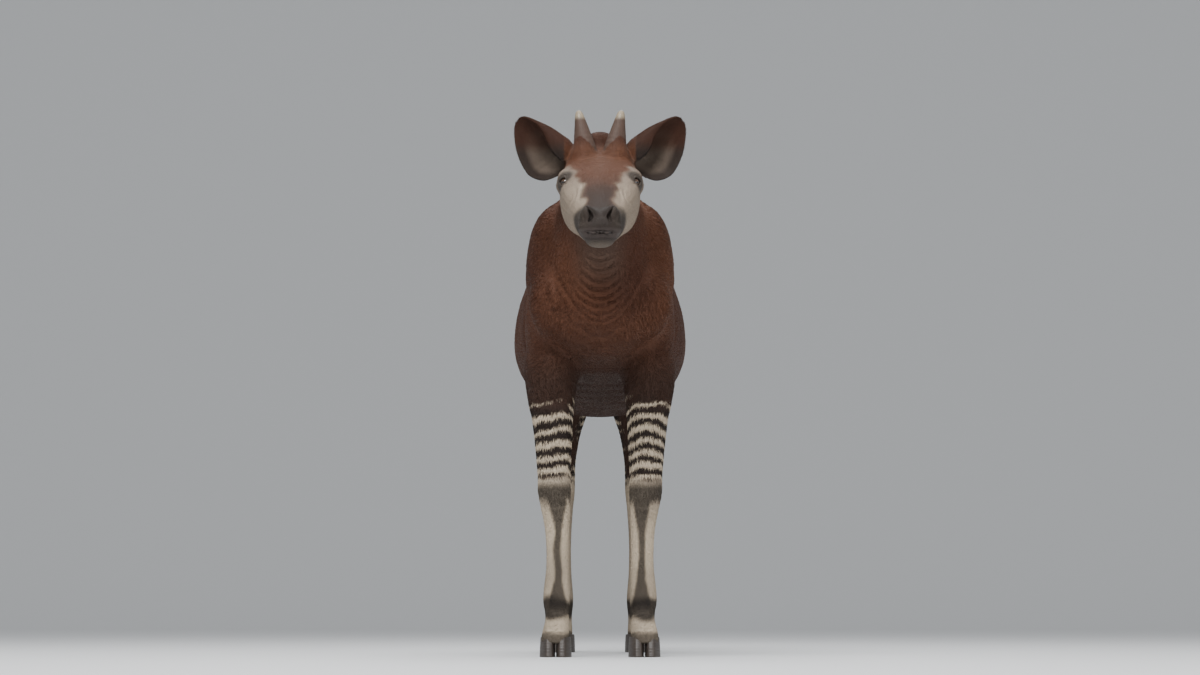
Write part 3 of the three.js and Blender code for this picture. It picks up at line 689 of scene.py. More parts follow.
def relaxed(places, pairs, amount):
    """Each vertex moves part of the way to the middle of its neighbours."""
    count = np.bincount(pairs.ravel(), minlength=len(places)).astype(float)
    total = np.zeros_like(places)
    for axis in range(3):
        total[:, axis] = np.bincount(pairs[:, 0], places[pairs[:, 1], axis], len(places))
        total[:, axis] += np.bincount(pairs[:, 1], places[pairs[:, 0], axis], len(places))
    middle = total / np.maximum(count, 1)[:, None]
    amount = np.broadcast_to(amount, len(places))[:, None]
    return places + (middle - places) * amount


def fit_to(mesh, level, rounds, relax, longest_step=10.0):
    """Moves the vertices along their normals until the level is nought there."""
    pairs = edge_pairs(mesh)
    places = vertex_places(mesh)
    for number in range(rounds):
        if relax:
            places = relaxed(places, pairs, relax * (1 - number / rounds))
            set_places(mesh, places)
        step = np.clip(level(to_mm(places)), -longest_step, longest_step) * 0.85
        places = places - vertex_normals(mesh) * (step * MM)[:, None]
        set_places(mesh, places)


def apply_modifiers(piece):
    depsgraph = bpy.context.evaluated_depsgraph_get()
    mesh = bpy.data.meshes.new_from_object(piece.evaluated_get(depsgraph))
    piece.modifiers.clear()
    piece.data = mesh


def shade_smooth(piece):
    piece.data.polygons.foreach_set("use_smooth", [True] * len(piece.data.polygons))


def turn_faces_out(mesh):
    work = bmesh.new()
    work.from_mesh(mesh)
    bmesh.ops.recalc_face_normals(work, faces=work.faces)
    work.to_mesh(mesh)
    work.free()


def keep_largest_island(mesh):
    work = bmesh.new()
    work.from_mesh(mesh)
    work.verts.ensure_lookup_table()
    seen = np.zeros(len(work.verts), bool)
    islands = []
    for seed in work.verts:
        if seen[seed.index]:
            continue
        seen[seed.index] = True
        stack, island = [seed], []
        while stack:
            vertex = stack.pop()
            island.append(vertex)
            for edge in vertex.link_edges:
                other = edge.other_vert(vertex)
                if not seen[other.index]:
                    seen[other.index] = True
                    stack.append(other)
        islands.append(island)
    islands.sort(key=len, reverse=True)
    for island in islands[1:]:
        bmesh.ops.delete(work, geom=island, context="VERTS")
    work.to_mesh(mesh)
    work.free()


def split_finer(mesh, wanted):
    """Splits each face whose middle is wanted into four."""
    work = bmesh.new()
    work.from_mesh(mesh)
    middles = np.array([face.calc_center_median() for face in work.faces])
    chosen = wanted(to_mm(middles))
    edges = {edge for face, pick in zip(work.faces, chosen) if pick for edge in face.edges}
    bmesh.ops.subdivide_edges(work, edges=list(edges), cuts=1, use_grid_fill=True)
    work.to_mesh(mesh)
    work.free()


# Skin

FLESH_NODES = [
    "torso", "neck", "head", "tail",
    "leg_front_left", "leg_front_right", "leg_hind_left", "leg_hind_right",
]


def near_features(points):
    """Round the eyes, the nostrils and the mouth, where the skin is finest."""
    by_eye = from_eye(points) < 46
    by_nose = (points[:, 1] > 775) & (points[:, 2] > 1285)
    by_mouth = (points[:, 1] > 725) & (np.abs(points[:, 2] - 1322) < 16)
    return by_eye | by_nose | by_mouth


def head_share(points):
    """Grows past nought in front of the seam between neck and head."""
    return (points[:, 1] - 374) * 0.945 + (points[:, 2] - 1565) * 0.33


def level_grid(level, low, count, pitch, steps):
    """Values of a level on a grid, worked out closely only near where it is nought."""
    value = None
    for step in steps:
        size = [(n - 1) // step + 1 for n in count]
        if value is None:
            near = np.ones(size, bool)
            value = np.zeros(size)
        else:
            for axis in range(3):
                value = np.repeat(value, 2, axis=axis)
            value = value[tuple(slice(1, 1 + n) for n in size)]
            near = np.abs(value) < 2.3 * step * pitch
        index = np.argwhere(near)
        centre = (size[0] - 1) // 2
        index = index[index[:, 0] >= centre]
        found = level(low + index * (pitch * step))
        value[tuple(index.T)] = found
        index[:, 0] = 2 * centre - index[:, 0]
        value[tuple(index.T)] = found
    return value


def surface_net(level, low, high, pitch, steps=(4, 2, 1)):
    """A closed mesh of quads where a mirrored level is nought."""
    half = math.ceil(high[0] / (pitch * 8)) * 8
    count = [2 * half + 1] + [math.ceil((high[i] - low[i]) / (pitch * 8)) * 8 + 1 for i in (1, 2)]
    low = np.array([-half * pitch, low[1], low[2]])
    value = level_grid(level, low, count, pitch, steps)
    inside = value < 0
    cells = tuple(n - 1 for n in count)
    total = np.zeros((*cells, 3))
    hits = np.zeros(cells)
    for axis in range(3):
        before = [slice(None)] * 3
        after = [slice(None)] * 3
        before[axis], after[axis] = slice(None, -1), slice(1, None)
        a, b = value[tuple(before)], value[tuple(after)]
        crossed = (a < 0) != (b < 0)
        share = np.where(crossed, a / np.where(crossed, a - b, 1), 0)
        others = [i for i in range(3) if i != axis]
        for first in (0, 1):
            for second in (0, 1):
                pick = [slice(None)] * 3
                pick[others[0]] = slice(first, cells[others[0]] + first)
                pick[others[1]] = slice(second, cells[others[1]] + second)
                cut = crossed[tuple(pick)]
                hits += cut
                total[..., axis] += np.where(cut, share[tuple(pick)], 0)
                total[..., others[0]] += first * cut
                total[..., others[1]] += second * cut
    used = hits > 0
    number = np.full(cells, -1)
    number[used] = np.arange(used.sum())
    vertices = low + (np.argwhere(used) + total[used] / hits[used][:, None]) * pitch
    faces = []
    for axis in range(3):
        first, second = (axis + 1) % 3, (axis + 2) % 3
        a = np.moveaxis(inside, (axis, first, second), (0, 1, 2))
        cell = np.moveaxis(number, (axis, first, second), (0, 1, 2))
        crossed = a[:-1, 1:-1, 1:-1] != a[1:, 1:-1, 1:-1]
        i, j, k = np.argwhere(crossed).T
        ring = [cell[i, j, k], cell[i, j + 1, k], cell[i, j + 1, k + 1], cell[i, j, k + 1]]
        quad = np.column_stack(ring)
        outward = a[i, j + 1, k + 1]
        quad[~outward] = quad[~outward][:, ::-1]
        faces.append(quad)
    return vertices, np.vstack(faces)


def make_skin():
    low, high = np.array([0, -1360.0, 20.0]), np.array([330.0, 880.0, 1800.0])
    vertices, faces = surface_net(coarse_skin, low, high, SKIN_PITCH)
    skin = mesh_object("skin", to_metres(vertices), faces)
    keep_largest_island(skin.data)
    turn_faces_out(skin.data)
    fit_to(skin.data, coarse_skin, 2, 0.5)
    split_finer(skin.data, lambda p: head_share(p) > 0)
    fit_to(skin.data, coarse_skin, 1, 0.5)
    split_finer(skin.data, near_features)
    fit_to(skin.data, fine_skin, 7, 0.35, longest_step=4.0)
    return skin


skin = make_skin()
shade_smooth(skin)


# Ears

EAR_ROOT = np.array([104.0, 414.0, 1612.0])
EAR_TIP = np.array([270.0, 436.0, 1752.0])
EAR_FACING = np.array([0.22, 0.97, 0.06])
EAR_CUP = 66.0
EAR_THICKNESS = 4.4
EAR_SUNK = -0.34
EAR_RIMS = np.array([
    # from root to tip, reach down to the lower rim, up to the upper one, and how far that folds back
    (0.00, 52, 56, 66), (0.06, 78, 59, 70), (0.12, 95, 61, 72), (0.23, 108, 60, 70),
    (0.36, 112, 58, 60), (0.52, 101, 54, 37), (0.64, 88, 48, 22), (0.75, 72, 41, 11),
    (0.88, 46, 32, 6), (0.96, 25, 23, 4), (1.00, 8, 9, 2),
])


def smooth_table(table, t):
    """Each column of a table at t, with no kink at its rows."""
    fine = catmull_rom(table, 8)
    return [np.interp(t, fine[:, 0], fine[:, i]) for i in range(1, table.shape[1])]


def ear_rims(t):
    lower, upper, fold = smooth_table(EAR_RIMS, t)
    cup = EAR_CUP * np.minimum(1, 0.42 + 2 * t) * np.minimum(1, 1.5 * (1 - t) ** 0.8)
    return lower, -upper, fold, cup


def ear_section(t, v):
    lower, upper, fold, cup = ear_rims(np.maximum(t, 0))
    main = np.clip((v + 0.6) / 1.6, 0, 1)
    rolled = np.clip((-0.6 - v) / 0.4, 0, 1)
    bow = np.sin(np.pi * main**0.8)
    down = upper + (lower - upper) * main + fold * (1 - np.cos(rolled * 2.2)) * 0.6
    forward = -cup * bow + fold * 0.42 * np.sin(rolled * 2.2)
    squeeze = np.where(t < 0, 1 + t * 2.4, 1)
    return np.stack([down * squeeze, forward * squeeze], axis=-1)


def ear_places(t, v, face):
    """Places on the ear's front (1), back (-1) or rim (0)."""
    axis = EAR_TIP - EAR_ROOT
    forward = EAR_FACING / np.linalg.norm(EAR_FACING)
    down = np.cross(forward, axis)
    down /= np.linalg.norm(down)
    down = -down if down[2] > 0 else down
    here = ear_section(t, v)
    run = ear_section(t, np.minimum(v + 0.02, 1)) - ear_section(t, np.maximum(v - 0.02, -1))
    run /= np.maximum(np.linalg.norm(run, axis=-1, keepdims=True), 1e-9)
    half = face * EAR_THICKNESS / 2
    ribs = 0.9 * np.sin(v * 16 + 2 * t) * np.sin(np.pi * np.clip(t, 0, 1)) * (face > 0)
    across = here[..., 0] - run[..., 1] * (half + ribs)
    ahead = here[..., 1] + run[..., 0] * (half + ribs)
    return EAR_ROOT + axis * t[..., None] + down * across[..., None] + forward * ahead[..., None]


def grid_shell(name, rows, columns, place):
    """A closed form of rings, capped by a point at each end."""
    rings = [place(row / (rows - 1), np.arange(columns) / columns) for row in range(rows)]
    vertices = list(np.vstack(rings)) + [rings[0].mean(0), rings[-1].mean(0)]
    faces = []
    for row in range(rows - 1):
        for column in range(columns):
            after = (column + 1) % columns
            a, b = row * columns + column, row * columns + after
            faces.append((a, b, b + columns, a + columns))
    first, last = rows * columns, rows * columns + 1
    for column in range(columns):
        after = (column + 1) % columns
        faces.append((after, column, first))
        faces.append(((rows - 1) * columns + column, (rows - 1) * columns + after, last))
    piece = mesh_object(name, vertices, faces)
    turn_faces_out(piece.data)
    return piece


def make_ear(side):
    def ring(height, turn):
        t = np.full(len(turn), EAR_SUNK + (0.995 - EAR_SUNK) * height)
        phase = turn * 2
        front = phase <= 1
        v = np.where(front, -1 + 2 * phase, 3 - 2 * phase)
        face = np.where(front, 1.0, -1.0) * np.minimum(1, (1 - np.abs(v)) * 12) ** 0.5
        places = ear_places(t, v, face)
        places[:, 0] *= side
        return to_metres(places)

    return grid_shell("ear", 96, 128, ring)


def join_to_skin(part):
    union = skin.modifiers.new("join", "BOOLEAN")
    union.operation = "UNION"
    union.solver = "MANIFOLD"
    union.object = part
    apply_modifiers(skin)
    bpy.data.objects.remove(part)


def soften_ear_roots():
    """Rounds the corner where each ear leaves the head."""
    mesh = skin.data
    pairs = edge_pairs(mesh)
    places = vertex_places(mesh)
    folded = one_side(to_mm(places))
    gap = np.abs(flesh(folded))
    near = np.linalg.norm(folded - EAR_ROOT, axis=1) < 105
    weight = np.where(near, smooth_step(16, 3, gap), 0) * 0.6
    for _ in range(14):
        places = relaxed(places, pairs, weight)
    set_places(mesh, places)


for side in (1, -1):
    join_to_skin(make_ear(side))
soften_ear_roots()
shade_smooth(skin)


# Eyes, horns and hooves


def frame_of(axis, towards=(0, 0, 1)):
    """Two directions square to an axis."""
    axis = np.asarray(axis, float)
    first = np.cross(axis, towards)
    first /= np.linalg.norm(first)
    return first, np.cross(axis, first)


def make_eye(side):
    outward, length, height = eye_axes()
    rows, columns = 40, 48

    def ring(at, turn):
        polar = math.pi * (0.004 + 0.992 * at)
        bulge = 1.7 * smooth_step(0.62, 0.2, polar)
        reach = EYE_RADIUS + bulge - 0.25
        angle = turn * 2 * math.pi
        local = (
            outward * math.cos(polar)
            + np.outer(np.cos(angle), length) * math.sin(polar)
            + np.outer(np.sin(angle), height) * math.sin(polar)
        )
        places = EYE + local * reach
        places[:, 0] *= side
        return to_metres(places)

    eye = grid_shell("eye_left_wet" if side > 0 else "eye_right_wet", rows, columns, ring)
    offset = one_side(to_mm(vertex_places(eye.data))) - EYE
    gaze = np.column_stack([offset @ length, offset @ height, offset @ outward])
    store(eye, "gaze", gaze / EYE_RADIUS)
    return eye


def store(piece, name, values):
    """Keeps a number, or three, for each vertex."""
    values = np.asarray(values, np.float32)
    kind, field = ("FLOAT", "value") if values.ndim == 1 else ("FLOAT_VECTOR", "vector")
    attribute = piece.data.attributes.new(name, kind, "POINT")
    attribute.data.foreach_set(field, np.ascontiguousarray(values).ravel())


HORN_BASE = np.array([39.0, 458.0, 1600.0])
HORN_TIP = np.array([71.0, 428.0, 1787.0])
HORN_PROFILE = np.array([
    # share of the length, radius
    (0.0, 41.0), (0.21, 38.6), (0.30, 36.0), (0.40, 33.4), (0.50, 30.2), (0.585, 27.0),
    (0.68, 23.4), (0.76, 20.0), (0.85, 16.8), (0.92, 13.6), (0.955, 11.2), (0.98, 8.2),
    (0.995, 4.2), (1.0, 0.6),
])


def make_horn(side):
    axis = HORN_TIP - HORN_BASE
    across, ahead = frame_of(axis / np.linalg.norm(axis), (0, 1, 0))

    def ring(at, turn):
        angle = turn * 2 * math.pi
        radius = np.interp(at, HORN_PROFILE[:, 0], HORN_PROFILE[:, 1])
        knobs = 0.7 * np.sin(3 * angle + 9 * at) * math.sin(math.pi * min(at * 1.3, 1))
        rings = 0.45 * math.sin(70 * at) * smooth_step(0.75, 0.4, at)
        reach = radius + knobs * smooth_step(1, 0.85, at) + rings
        bend = ahead * 1.5 * math.sin(math.pi * at)
        places = (
            HORN_BASE + axis * at + bend
            + np.outer(np.cos(angle) * reach, across)
            + np.outer(np.sin(angle) * reach, ahead)
        )
        places[:, 0] *= side
        return to_metres(places)

    return grid_shell("horn_left_bone" if side > 0 else "horn_right_bone", 56, 40, ring)


CLAW_LENGTH = 124.0
CLAW_WIDTH = 52.5
CLEFT = 3.0
FORE_FOOT = (149.0, 30.0)
HIND_FOOT = (147.0, -1072.0)
CLAW_PROFILE = np.array([
    # share of the height, reach, set back
    (0.0, 0.985, 0.0), (0.03, 1.0, 0.0), (0.5, 0.93, 6.0), (0.88, 0.82, 12.0), (1.0, 0.72, 13.5),
])


def make_claw(name, foot, outward, side):
    def ring(at, turn):
        angle = turn * 2 * math.pi
        height = min(at * 1.06, 1.0)
        reach, back = (np.interp(height, CLAW_PROFILE[:, 0], CLAW_PROFILE[:, i]) for i in (1, 2))
        closing = 1 - 0.9 * smooth_step(1.0, 1.06, at * 1.06)
        growth = 0.35 * math.sin(height * 46) * (0.2 < height < 0.92)
        x, fore = np.sin(angle), np.cos(angle)
        toe = (1 - 0.42 * np.maximum(fore, 0) ** 1.5) * (0.5 + 0.5 * reach)
        outer_wall = x * (CLAW_WIDTH / 2 * toe + growth)
        inner_wall = np.sign(x) * np.abs(x) ** 0.4 * CLAW_WIDTH / 2 * (1 - 0.05 * height)
        across = np.where(x * outward < 0, inner_wall, outer_wall)
        places = np.column_stack([
            foot[0] + outward * (CLAW_WIDTH + CLEFT) / 2 + across * closing,
            foot[1] + fore * (CLAW_LENGTH / 2 * reach + growth) * closing - back,
            np.full(len(turn), height * CORONET_HEIGHT),
        ])
        places[:, 0] *= side
        return to_metres(places)

    return grid_shell(name, 40, 48, ring)


eyes = {side: make_eye(side) for side in (1, -1)}
horns = {side: make_horn(side) for side in (1, -1)}
claws = {}
for hand, side in (("left", 1), ("right", -1)):
    for end, foot in (("front", FORE_FOOT), ("hind", HIND_FOOT)):
        for place, outward in (("outer", 1), ("inner", -1)):
            node = f"hoof_{end}_{hand}_{place}"
            claws[node] = make_claw(node + "_claw", foot, outward, side)


# Markings


def ripple(points, scale, seed):
    """Smooth noise from about -1 to 1, with features of about the scale in mm."""
    rng = np.random.default_rng(seed)
    total = np.zeros(len(points))
    for _ in range(5):
        direction = rng.normal(size=3)
        direction *= rng.uniform(0.7, 1.5) * 2 * math.pi / (scale * np.linalg.norm(direction))
        total += np.sin(points @ direction + rng.uniform(0, 2 * math.pi))
    return total / 2.4


def stripes(points, phase, share, jitter_seed):
    """How white a stripe is, from a phase that grows by one for each stripe and the white share."""
    number = np.floor(phase + 0.5).astype(int)
    table = np.random.default_rng(jitter_seed).uniform(-0.1, 0.1, 400)
    share = share + table[(number + (points[:, 0] > 0) * 173) % 400] * (share > 0.03)
    edge = np.cos(math.pi * np.clip(share, 0, 1))
    return smooth_step(-0.16, 0.16, np.cos(2 * math.pi * phase) - edge) * (share > 0.02)


def ear_axes_at(points):
    """Along the ear, from 0 to 1 or -1 off the ears, and how far in front of its axis."""
    folded = one_side(points)
    axis = EAR_TIP - EAR_ROOT
    offset = folded - EAR_ROOT
    along = offset @ axis / (axis @ axis)
    ahead = (offset - np.outer(along, axis)) @ (EAR_FACING / np.linalg.norm(EAR_FACING))
    on_ear = (folded[:, 0] > 116) & (points[:, 2] > 1530) & (points[:, 1] < 520)
    return np.where(on_ear, along, -1), ahead


BLACK = np.array([0.016, 0.012, 0.010])
CHESTNUT = np.array([0.060, 0.022, 0.012])
RED_BROWN = np.array([0.110, 0.042, 0.020])
CREAM = np.array([0.52, 0.43, 0.32])
GREY_FACE = np.array([0.23, 0.185, 0.145])
EAR_PALE = np.array([0.20, 0.155, 0.12])


def blend_to(colour, target, amount):
    return colour + (target - colour) * np.clip(amount, 0, 1)[:, None]


def on_limb(limb, points):
    """1 on a limb, falling to 0 a little way off it."""
    folded = one_side(points)
    return smooth_step(30, 8, limb.distance(folded))


def coat_colour(points):
    """The species' markings, for the skin and for each tuft."""
    side, fore, up = points.T
    folded = np.abs(side)
    wave = ripple(points, 190, 3)
    fine = ripple(points, 60, 4)
    colour = np.tile(CHESTNUT, (len(points), 1))
    colour = blend_to(colour, RED_BROWN, 0.4 + 0.35 * ripple(points, 420, 5) * smooth_step(900, 1300, up))
    colour = blend_to(colour, BLACK, 0.65 * smooth_step(1120, 900, up))

    # haunches: stripes that sweep down and forward from the tail and end in points
    heights, edges = [600, 760, 900, 1000, 1150, 1330], [-1010, -960, -880, -900, -975, -1100]
    front_edge = np.interp(up, heights, edges)
    haunch = smooth_step(0, -170, fore - front_edge + 36 * wave)
    haunch = haunch * smooth_step(1330, 1250, up + 20 * wave)
    haunch *= smooth_step(600, 660, up) * np.where(up < 870, on_limb(HIND_LEG, points), 1)
    slant = up + 0.14 * (fore + 1080) + 12 * ripple(points, 330, 13) + 3.5 * ripple(points, 110, 14)
    phase = slant / (33 + 0.006 * (1200 - up))
    colour = blend_to(colour, BLACK, smooth_step(0, 0.5, haunch) * 0.85)
    share = 0.44 * smooth_step(0.02, 0.8, haunch) * (0.8 + 0.4 * smooth_step(1100, 700, up))
    colour = blend_to(colour, CREAM, stripes(points, phase, share, 7))

    # upper forelegs: bands on the outside, the back and the inside
    arm = smooth_step(900, 830, up + 0.25 * fore + 18 * wave) * smooth_step(575, 625, up)
    arm *= on_limb(FORELEG, points) * (fore > -400)
    phase = (up - 0.18 * fore + 11 * ripple(points, 260, 15) + 4 * ripple(points, 90, 16)) / 42
    colour = blend_to(colour, BLACK, arm * 0.8)
    share = arm * (0.34 + 0.1 * smooth_step(800, 640, up))
    colour = blend_to(colour, CREAM, stripes(points, phase, share, 9))

    # stockings, with bands at the fetlocks and a line down the front of the fore cannons
    hind = fore < -700
    top = np.where(hind, 640, 600) + 10 * fine
    stocking = smooth_step(top + 14, top - 14, up)
    pale = blend_to(np.tile(CREAM, (len(points), 1)), GREY_FACE, 0.3 + 0.25 * wave)
    colour = colour + (pale - colour) * stocking[:, None]
    narrow = np.interp(up, [190, 260, 420, 520], [30, 13, 11, 30])
    from_middle = np.abs(folded - 141 + 3 * ripple(points, 120, 17))
    line = smooth_step(6, 20, fore) * smooth_step(narrow + 5, narrow - 5, from_middle)
    line *= smooth_step(150, 180, up) * smooth_step(560, 530, up) * ~hind
    knee = smooth_step(-4, 26, fore + 5 * fine) * smooth_step(500, 540, up + 8 * fine)
    knee *= smooth_step(604, 566, up) * ~hind
    colour = blend_to(colour, BLACK, 0.85 * np.maximum(line, knee))
    back_line = smooth_step(-1128, -1142, fore) * smooth_step(10, 4, from_middle) * (up > 200) * (up < 560)
    colour = blend_to(colour, BLACK, 0.6 * back_line)
    fetlock = smooth_step(118, 142, up + 8 * fine) * smooth_step(214, 182, up + 8 * fine)
    colour = blend_to(colour, BLACK, 0.92 * fetlock)
    colour = blend_to(colour, BLACK, 0.75 * smooth_step(88, 76, up + 3 * fine))

    # throat: a little paler under the chin
    throat = smooth_step(120, 20, folded) * smooth_step(1180, 1330, up) * smooth_step(150, 260, fore)
    colour = blend_to(colour, GREY_FACE * 0.45, 0.35 * throat)

    # head: pale cheeks, dark forehead and bridge, black nose and lips
    head = smooth_step(-8, 46, head_share(points) + 14 * fine)
    along_face = 0.786 * (fore - 545) - 0.618 * (up - 1526)
    over = 0.618 * (fore - 545) + 0.786 * (up - 1526)
    half = np.interp(along_face, [-120, -20, 60, 160, 260], [108, 88, 62, 44, 40]) + 7 * fine
    on_top = smooth_step(half + 16, half - 16, folded) * smooth_step(-14, 26, over + 6 * fine)
    pale_cheek = np.tile(GREY_FACE, (len(points), 1))
    pale_cheek = blend_to(pale_cheek, CREAM, 0.25 * smooth_step(0, 120, along_face))
    pale_cheek = blend_to(pale_cheek, RED_BROWN, 0.35 * smooth_step(20, -110, along_face))
    front_of_ears = smooth_step(1640, 1580, up)
    colour = colour + (pale_cheek - colour) * (head * (1 - on_top) * front_of_ears * 0.9)[:, None]
    colour = blend_to(colour, RED_BROWN * 0.85, 0.8 * head * on_top)
    darker = smooth_step(10, 200, along_face + 8 * fine)
    colour = blend_to(colour, BLACK * 1.6, 0.85 * head * on_top * darker)
    nose = smooth_step(218, 262, along_face + 0.2 * folded + 7 * fine)
    colour = blend_to(colour, BLACK * 1.8, 0.92 * nose * head)
    lips = smooth_step(26, 10, np.abs(up - 1326)) * smooth_step(735, 775, fore)
    colour = blend_to(colour, np.array([0.050, 0.038, 0.034]), 0.75 * lips)
    under = smooth_step(1312, 1292, up) * smooth_step(700, 740, fore)
    colour = blend_to(colour, GREY_FACE * 0.8, 0.6 * under)
    gap = from_eye(points)
    colour = blend_to(colour, BLACK * 1.3, 0.85 * smooth_step(45, 31, gap))

    # ears: dark outside and at the rims, paler inside
    along_ear, ahead_of_ear = ear_axes_at(points)
    ear = smooth_step(-0.2, 0.04, along_ear)
    colour = blend_to(colour, BLACK * 1.6, 0.92 * ear)
    inside = smooth_step(-12, -34, ahead_of_ear) * smooth_step(0.9, 0.6, along_ear) * ear
    colour = blend_to(colour, EAR_PALE, 0.5 * inside)

    # the poll and the foot of the horns
    colour = blend_to(colour, CHESTNUT * 0.8, 0.8 * smooth_step(1640, 1690, up))
    tuft = smooth_step(1100, 1050, up) * (fore < -1230)
    colour = blend_to(colour, BLACK, tuft)
    return np.clip(colour, 0.004, 0.9)


# Materials


class Sum:
    """A node output that can be used like a number in shader sums."""

    def __init__(self, shader, socket):
        self.shader = shader
        self.socket = socket

    def combine(self, operation, first, second):
        node = self.shader.node("ShaderNodeMath", {"operation": operation}, {0: first, 1: second})
        return Sum(self.shader, node.outputs[0])

    def __add__(self, other):
        return self.combine("ADD", self, other)

    def __radd__(self, other):
        return self.combine("ADD", other, self)

    def __sub__(self, other):
        return self.combine("SUBTRACT", self, other)

    def __rsub__(self, other):
        return self.combine("SUBTRACT", other, self)

    def __mul__(self, other):
        return self.combine("MULTIPLY", self, other)

    def __rmul__(self, other):
        return self.combine("MULTIPLY", other, self)

    def __truediv__(self, other):
        return self.combine("DIVIDE", self, other)

    def __pow__(self, other):
        return self.combine("POWER", self, other)

    def between(self, low, high):
        """Runs smoothly from 0 to 1 between two values."""
        inputs = {"Value": self, "From Min": low, "From Max": high}
        node = self.shader.node("ShaderNodeMapRange", {"interpolation_type": "SMOOTHSTEP"}, inputs)
        return Sum(self.shader, node.outputs["Result"])


class Shader:
    def __init__(self, name, **constants):
        self.material = bpy.data.materials.new(name)
        self.material.use_nodes = True
        self.tree = self.material.node_tree
        self.tree.nodes.clear()
        self.surface = self.node("ShaderNodeBsdfPrincipled")
        self.set(**constants)
        self.node("ShaderNodeOutputMaterial", {}, {"Surface": self.surface.outputs[0]})

    def feed(self, socket, value):
        if isinstance(value, Sum):
            value = value.socket
        if isinstance(value, bpy.types.NodeSocket):
            self.tree.links.new(value, socket)
        else:
            socket.default_value = value

    def node(self, kind, settings=None, inputs=None):
        node = self.tree.nodes.new(kind)
        for key, value in (settings or {}).items():
            setattr(node, key, value)
        for key, value in (inputs or {}).items():
            self.feed(node.inputs[key], value)
        return node

    def set(self, **values):
        for key, value in values.items():
            self.feed(self.surface.inputs[key.replace("_", " ").title().replace("Ior", "IOR")], value)

    def attribute(self, name, output="Fac"):
        node = self.node("ShaderNodeAttribute", {"attribute_name": name})
        return node.outputs[output] if output != "Fac" else Sum(self, node.outputs["Fac"])

    def noise(self, scale, detail=3.0, vector=None, roughness=0.5):
        inputs = {"Scale": scale, "Detail": detail, "Roughness": roughness}
        if vector is not None:
            inputs["Vector"] = vector
        return Sum(self, self.node("ShaderNodeTexNoise", {}, inputs).outputs["Fac"])

    def places(self, stretch=(1, 1, 1)):
        """The rest position of each point, stretched along the axes."""
        here = self.node("ShaderNodeTexCoord").outputs["Object"]
        scaled = self.node("ShaderNodeVectorMath", {"operation": "MULTIPLY"}, {0: here, 1: stretch})
        return scaled.outputs["Vector"]

    def mix(self, amount, first, second, kind="MIX"):
        settings = {"data_type": "RGBA", "blend_type": kind}
        node = self.node("ShaderNodeMix", settings, {"Factor": amount})
        self.feed(node.inputs[6], first)
        self.feed(node.inputs[7], second)
        return node.outputs[2]

    def bump(self, height, distance, strength=1.0):
        inputs = {"Height": height, "Distance": distance, "Strength": strength}
        return self.node("ShaderNodeBump", {}, inputs).outputs["Normal"]


def coat_material():
    shader = Shader("short_coat", sheen_weight=0.05, sheen_roughness=0.5, specular_ior_level=0.18)
    hairs = shader.noise(420.0, 4.0, shader.places((1, 1, 0.22)), 0.6)
    mottling = shader.noise(26.0, 3.0)
    shade = hairs * 0.7 + mottling * 0.5 + 0.45
    grey = shader.node("ShaderNodeCombineColor", {}, {0: shade, 1: shade, 2: shade}).outputs[0]
    base = shader.mix(1.0, shader.attribute("coat", "Color"), grey, "MULTIPLY")
    shader.set(base_color=base)
    height = hairs * 0.8 + mottling * 0.3
    shader.feed(shader.surface.inputs["Normal"], shader.bump(height, 0.0012, 0.55))
    shader.set(roughness=0.52 + hairs * 0.2)
    return shader.material


def hair_material():
    shader = Shader("coat_hair", roughness=0.55, specular_ior_level=0.18)
    shader.set(base_color=shader.attribute("coat", "Color"))
    return shader.material


def eye_material():
    shader = Shader("wet_eye", roughness=0.04, coat_weight=1.0, coat_roughness=0.02)
    gaze = shader.attribute("gaze", "Vector")
    split = shader.node("ShaderNodeSeparateXYZ", {}, {0: gaze})
    along, above = (Sum(shader, split.outputs[i]) for i in (0, 1))
    radius = (along * along + above * above) ** 0.5
    pupil = ((along * along) * 0.30 + (above * above) * 2.6) ** 0.5
    iris = shader.mix(radius.between(0.30, 0.62), (0.06, 0.028, 0.012, 1), (0.018, 0.009, 0.006, 1))
    white = shader.mix(radius.between(0.66, 0.82), iris, (0.10, 0.07, 0.055, 1))
    shader.set(base_color=shader.mix(pupil.between(0.16, 0.22), (0.003, 0.003, 0.004, 1), white))
    return shader.material


def horn_material():
    shader = Shader("horn_hair_and_bone", roughness=0.6)
    tip = shader.attribute("tip")
    grain = shader.noise(260.0, 4.0, shader.places((1, 1, 0.2)))
    bare = tip.between(0.80, 0.90)
    hair = shader.mix(grain, (0.035, 0.018, 0.012, 1), (0.085, 0.045, 0.028, 1))
    bone = shader.mix(grain, (0.20, 0.155, 0.10, 1), (0.36, 0.30, 0.21, 1))
    shader.set(base_color=shader.mix(bare, hair, bone), roughness=0.68 - bare * 0.3)
    shader.feed(shader.surface.inputs["Normal"], shader.bump(grain, 0.0012, 0.6))
    return shader.material


def hoof_material():
    shader = Shader("hoof_horn", roughness=0.42)
    grain = shader.noise(120.0, 4.0, shader.places((1, 1, 0.12)))
    rings = shader.noise(60.0, 2.0, shader.places((0.1, 0.1, 2.6)))
    shader.set(base_color=shader.mix(grain, (0.020, 0.015, 0.013, 1), (0.075, 0.058, 0.047, 1)))
    shader.feed(shader.surface.inputs["Normal"], shader.bump(rings + grain * 0.5, 0.0009, 0.6))
    shader.set(roughness=0.34 + grain * 0.2)
    return shader.material


def dress(piece, material, slot, *nodes):
    piece.data.materials.clear()
    piece.data.materials.append(material)
    shade_smooth(piece)
    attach(piece, "root")
    if nodes:
        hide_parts(*nodes)


COAT = coat_material()
HAIR = hair_material()
EYE_GLOSS = eye_material()
HORN_BONE = horn_material()
HOOF_HORN = hoof_material()

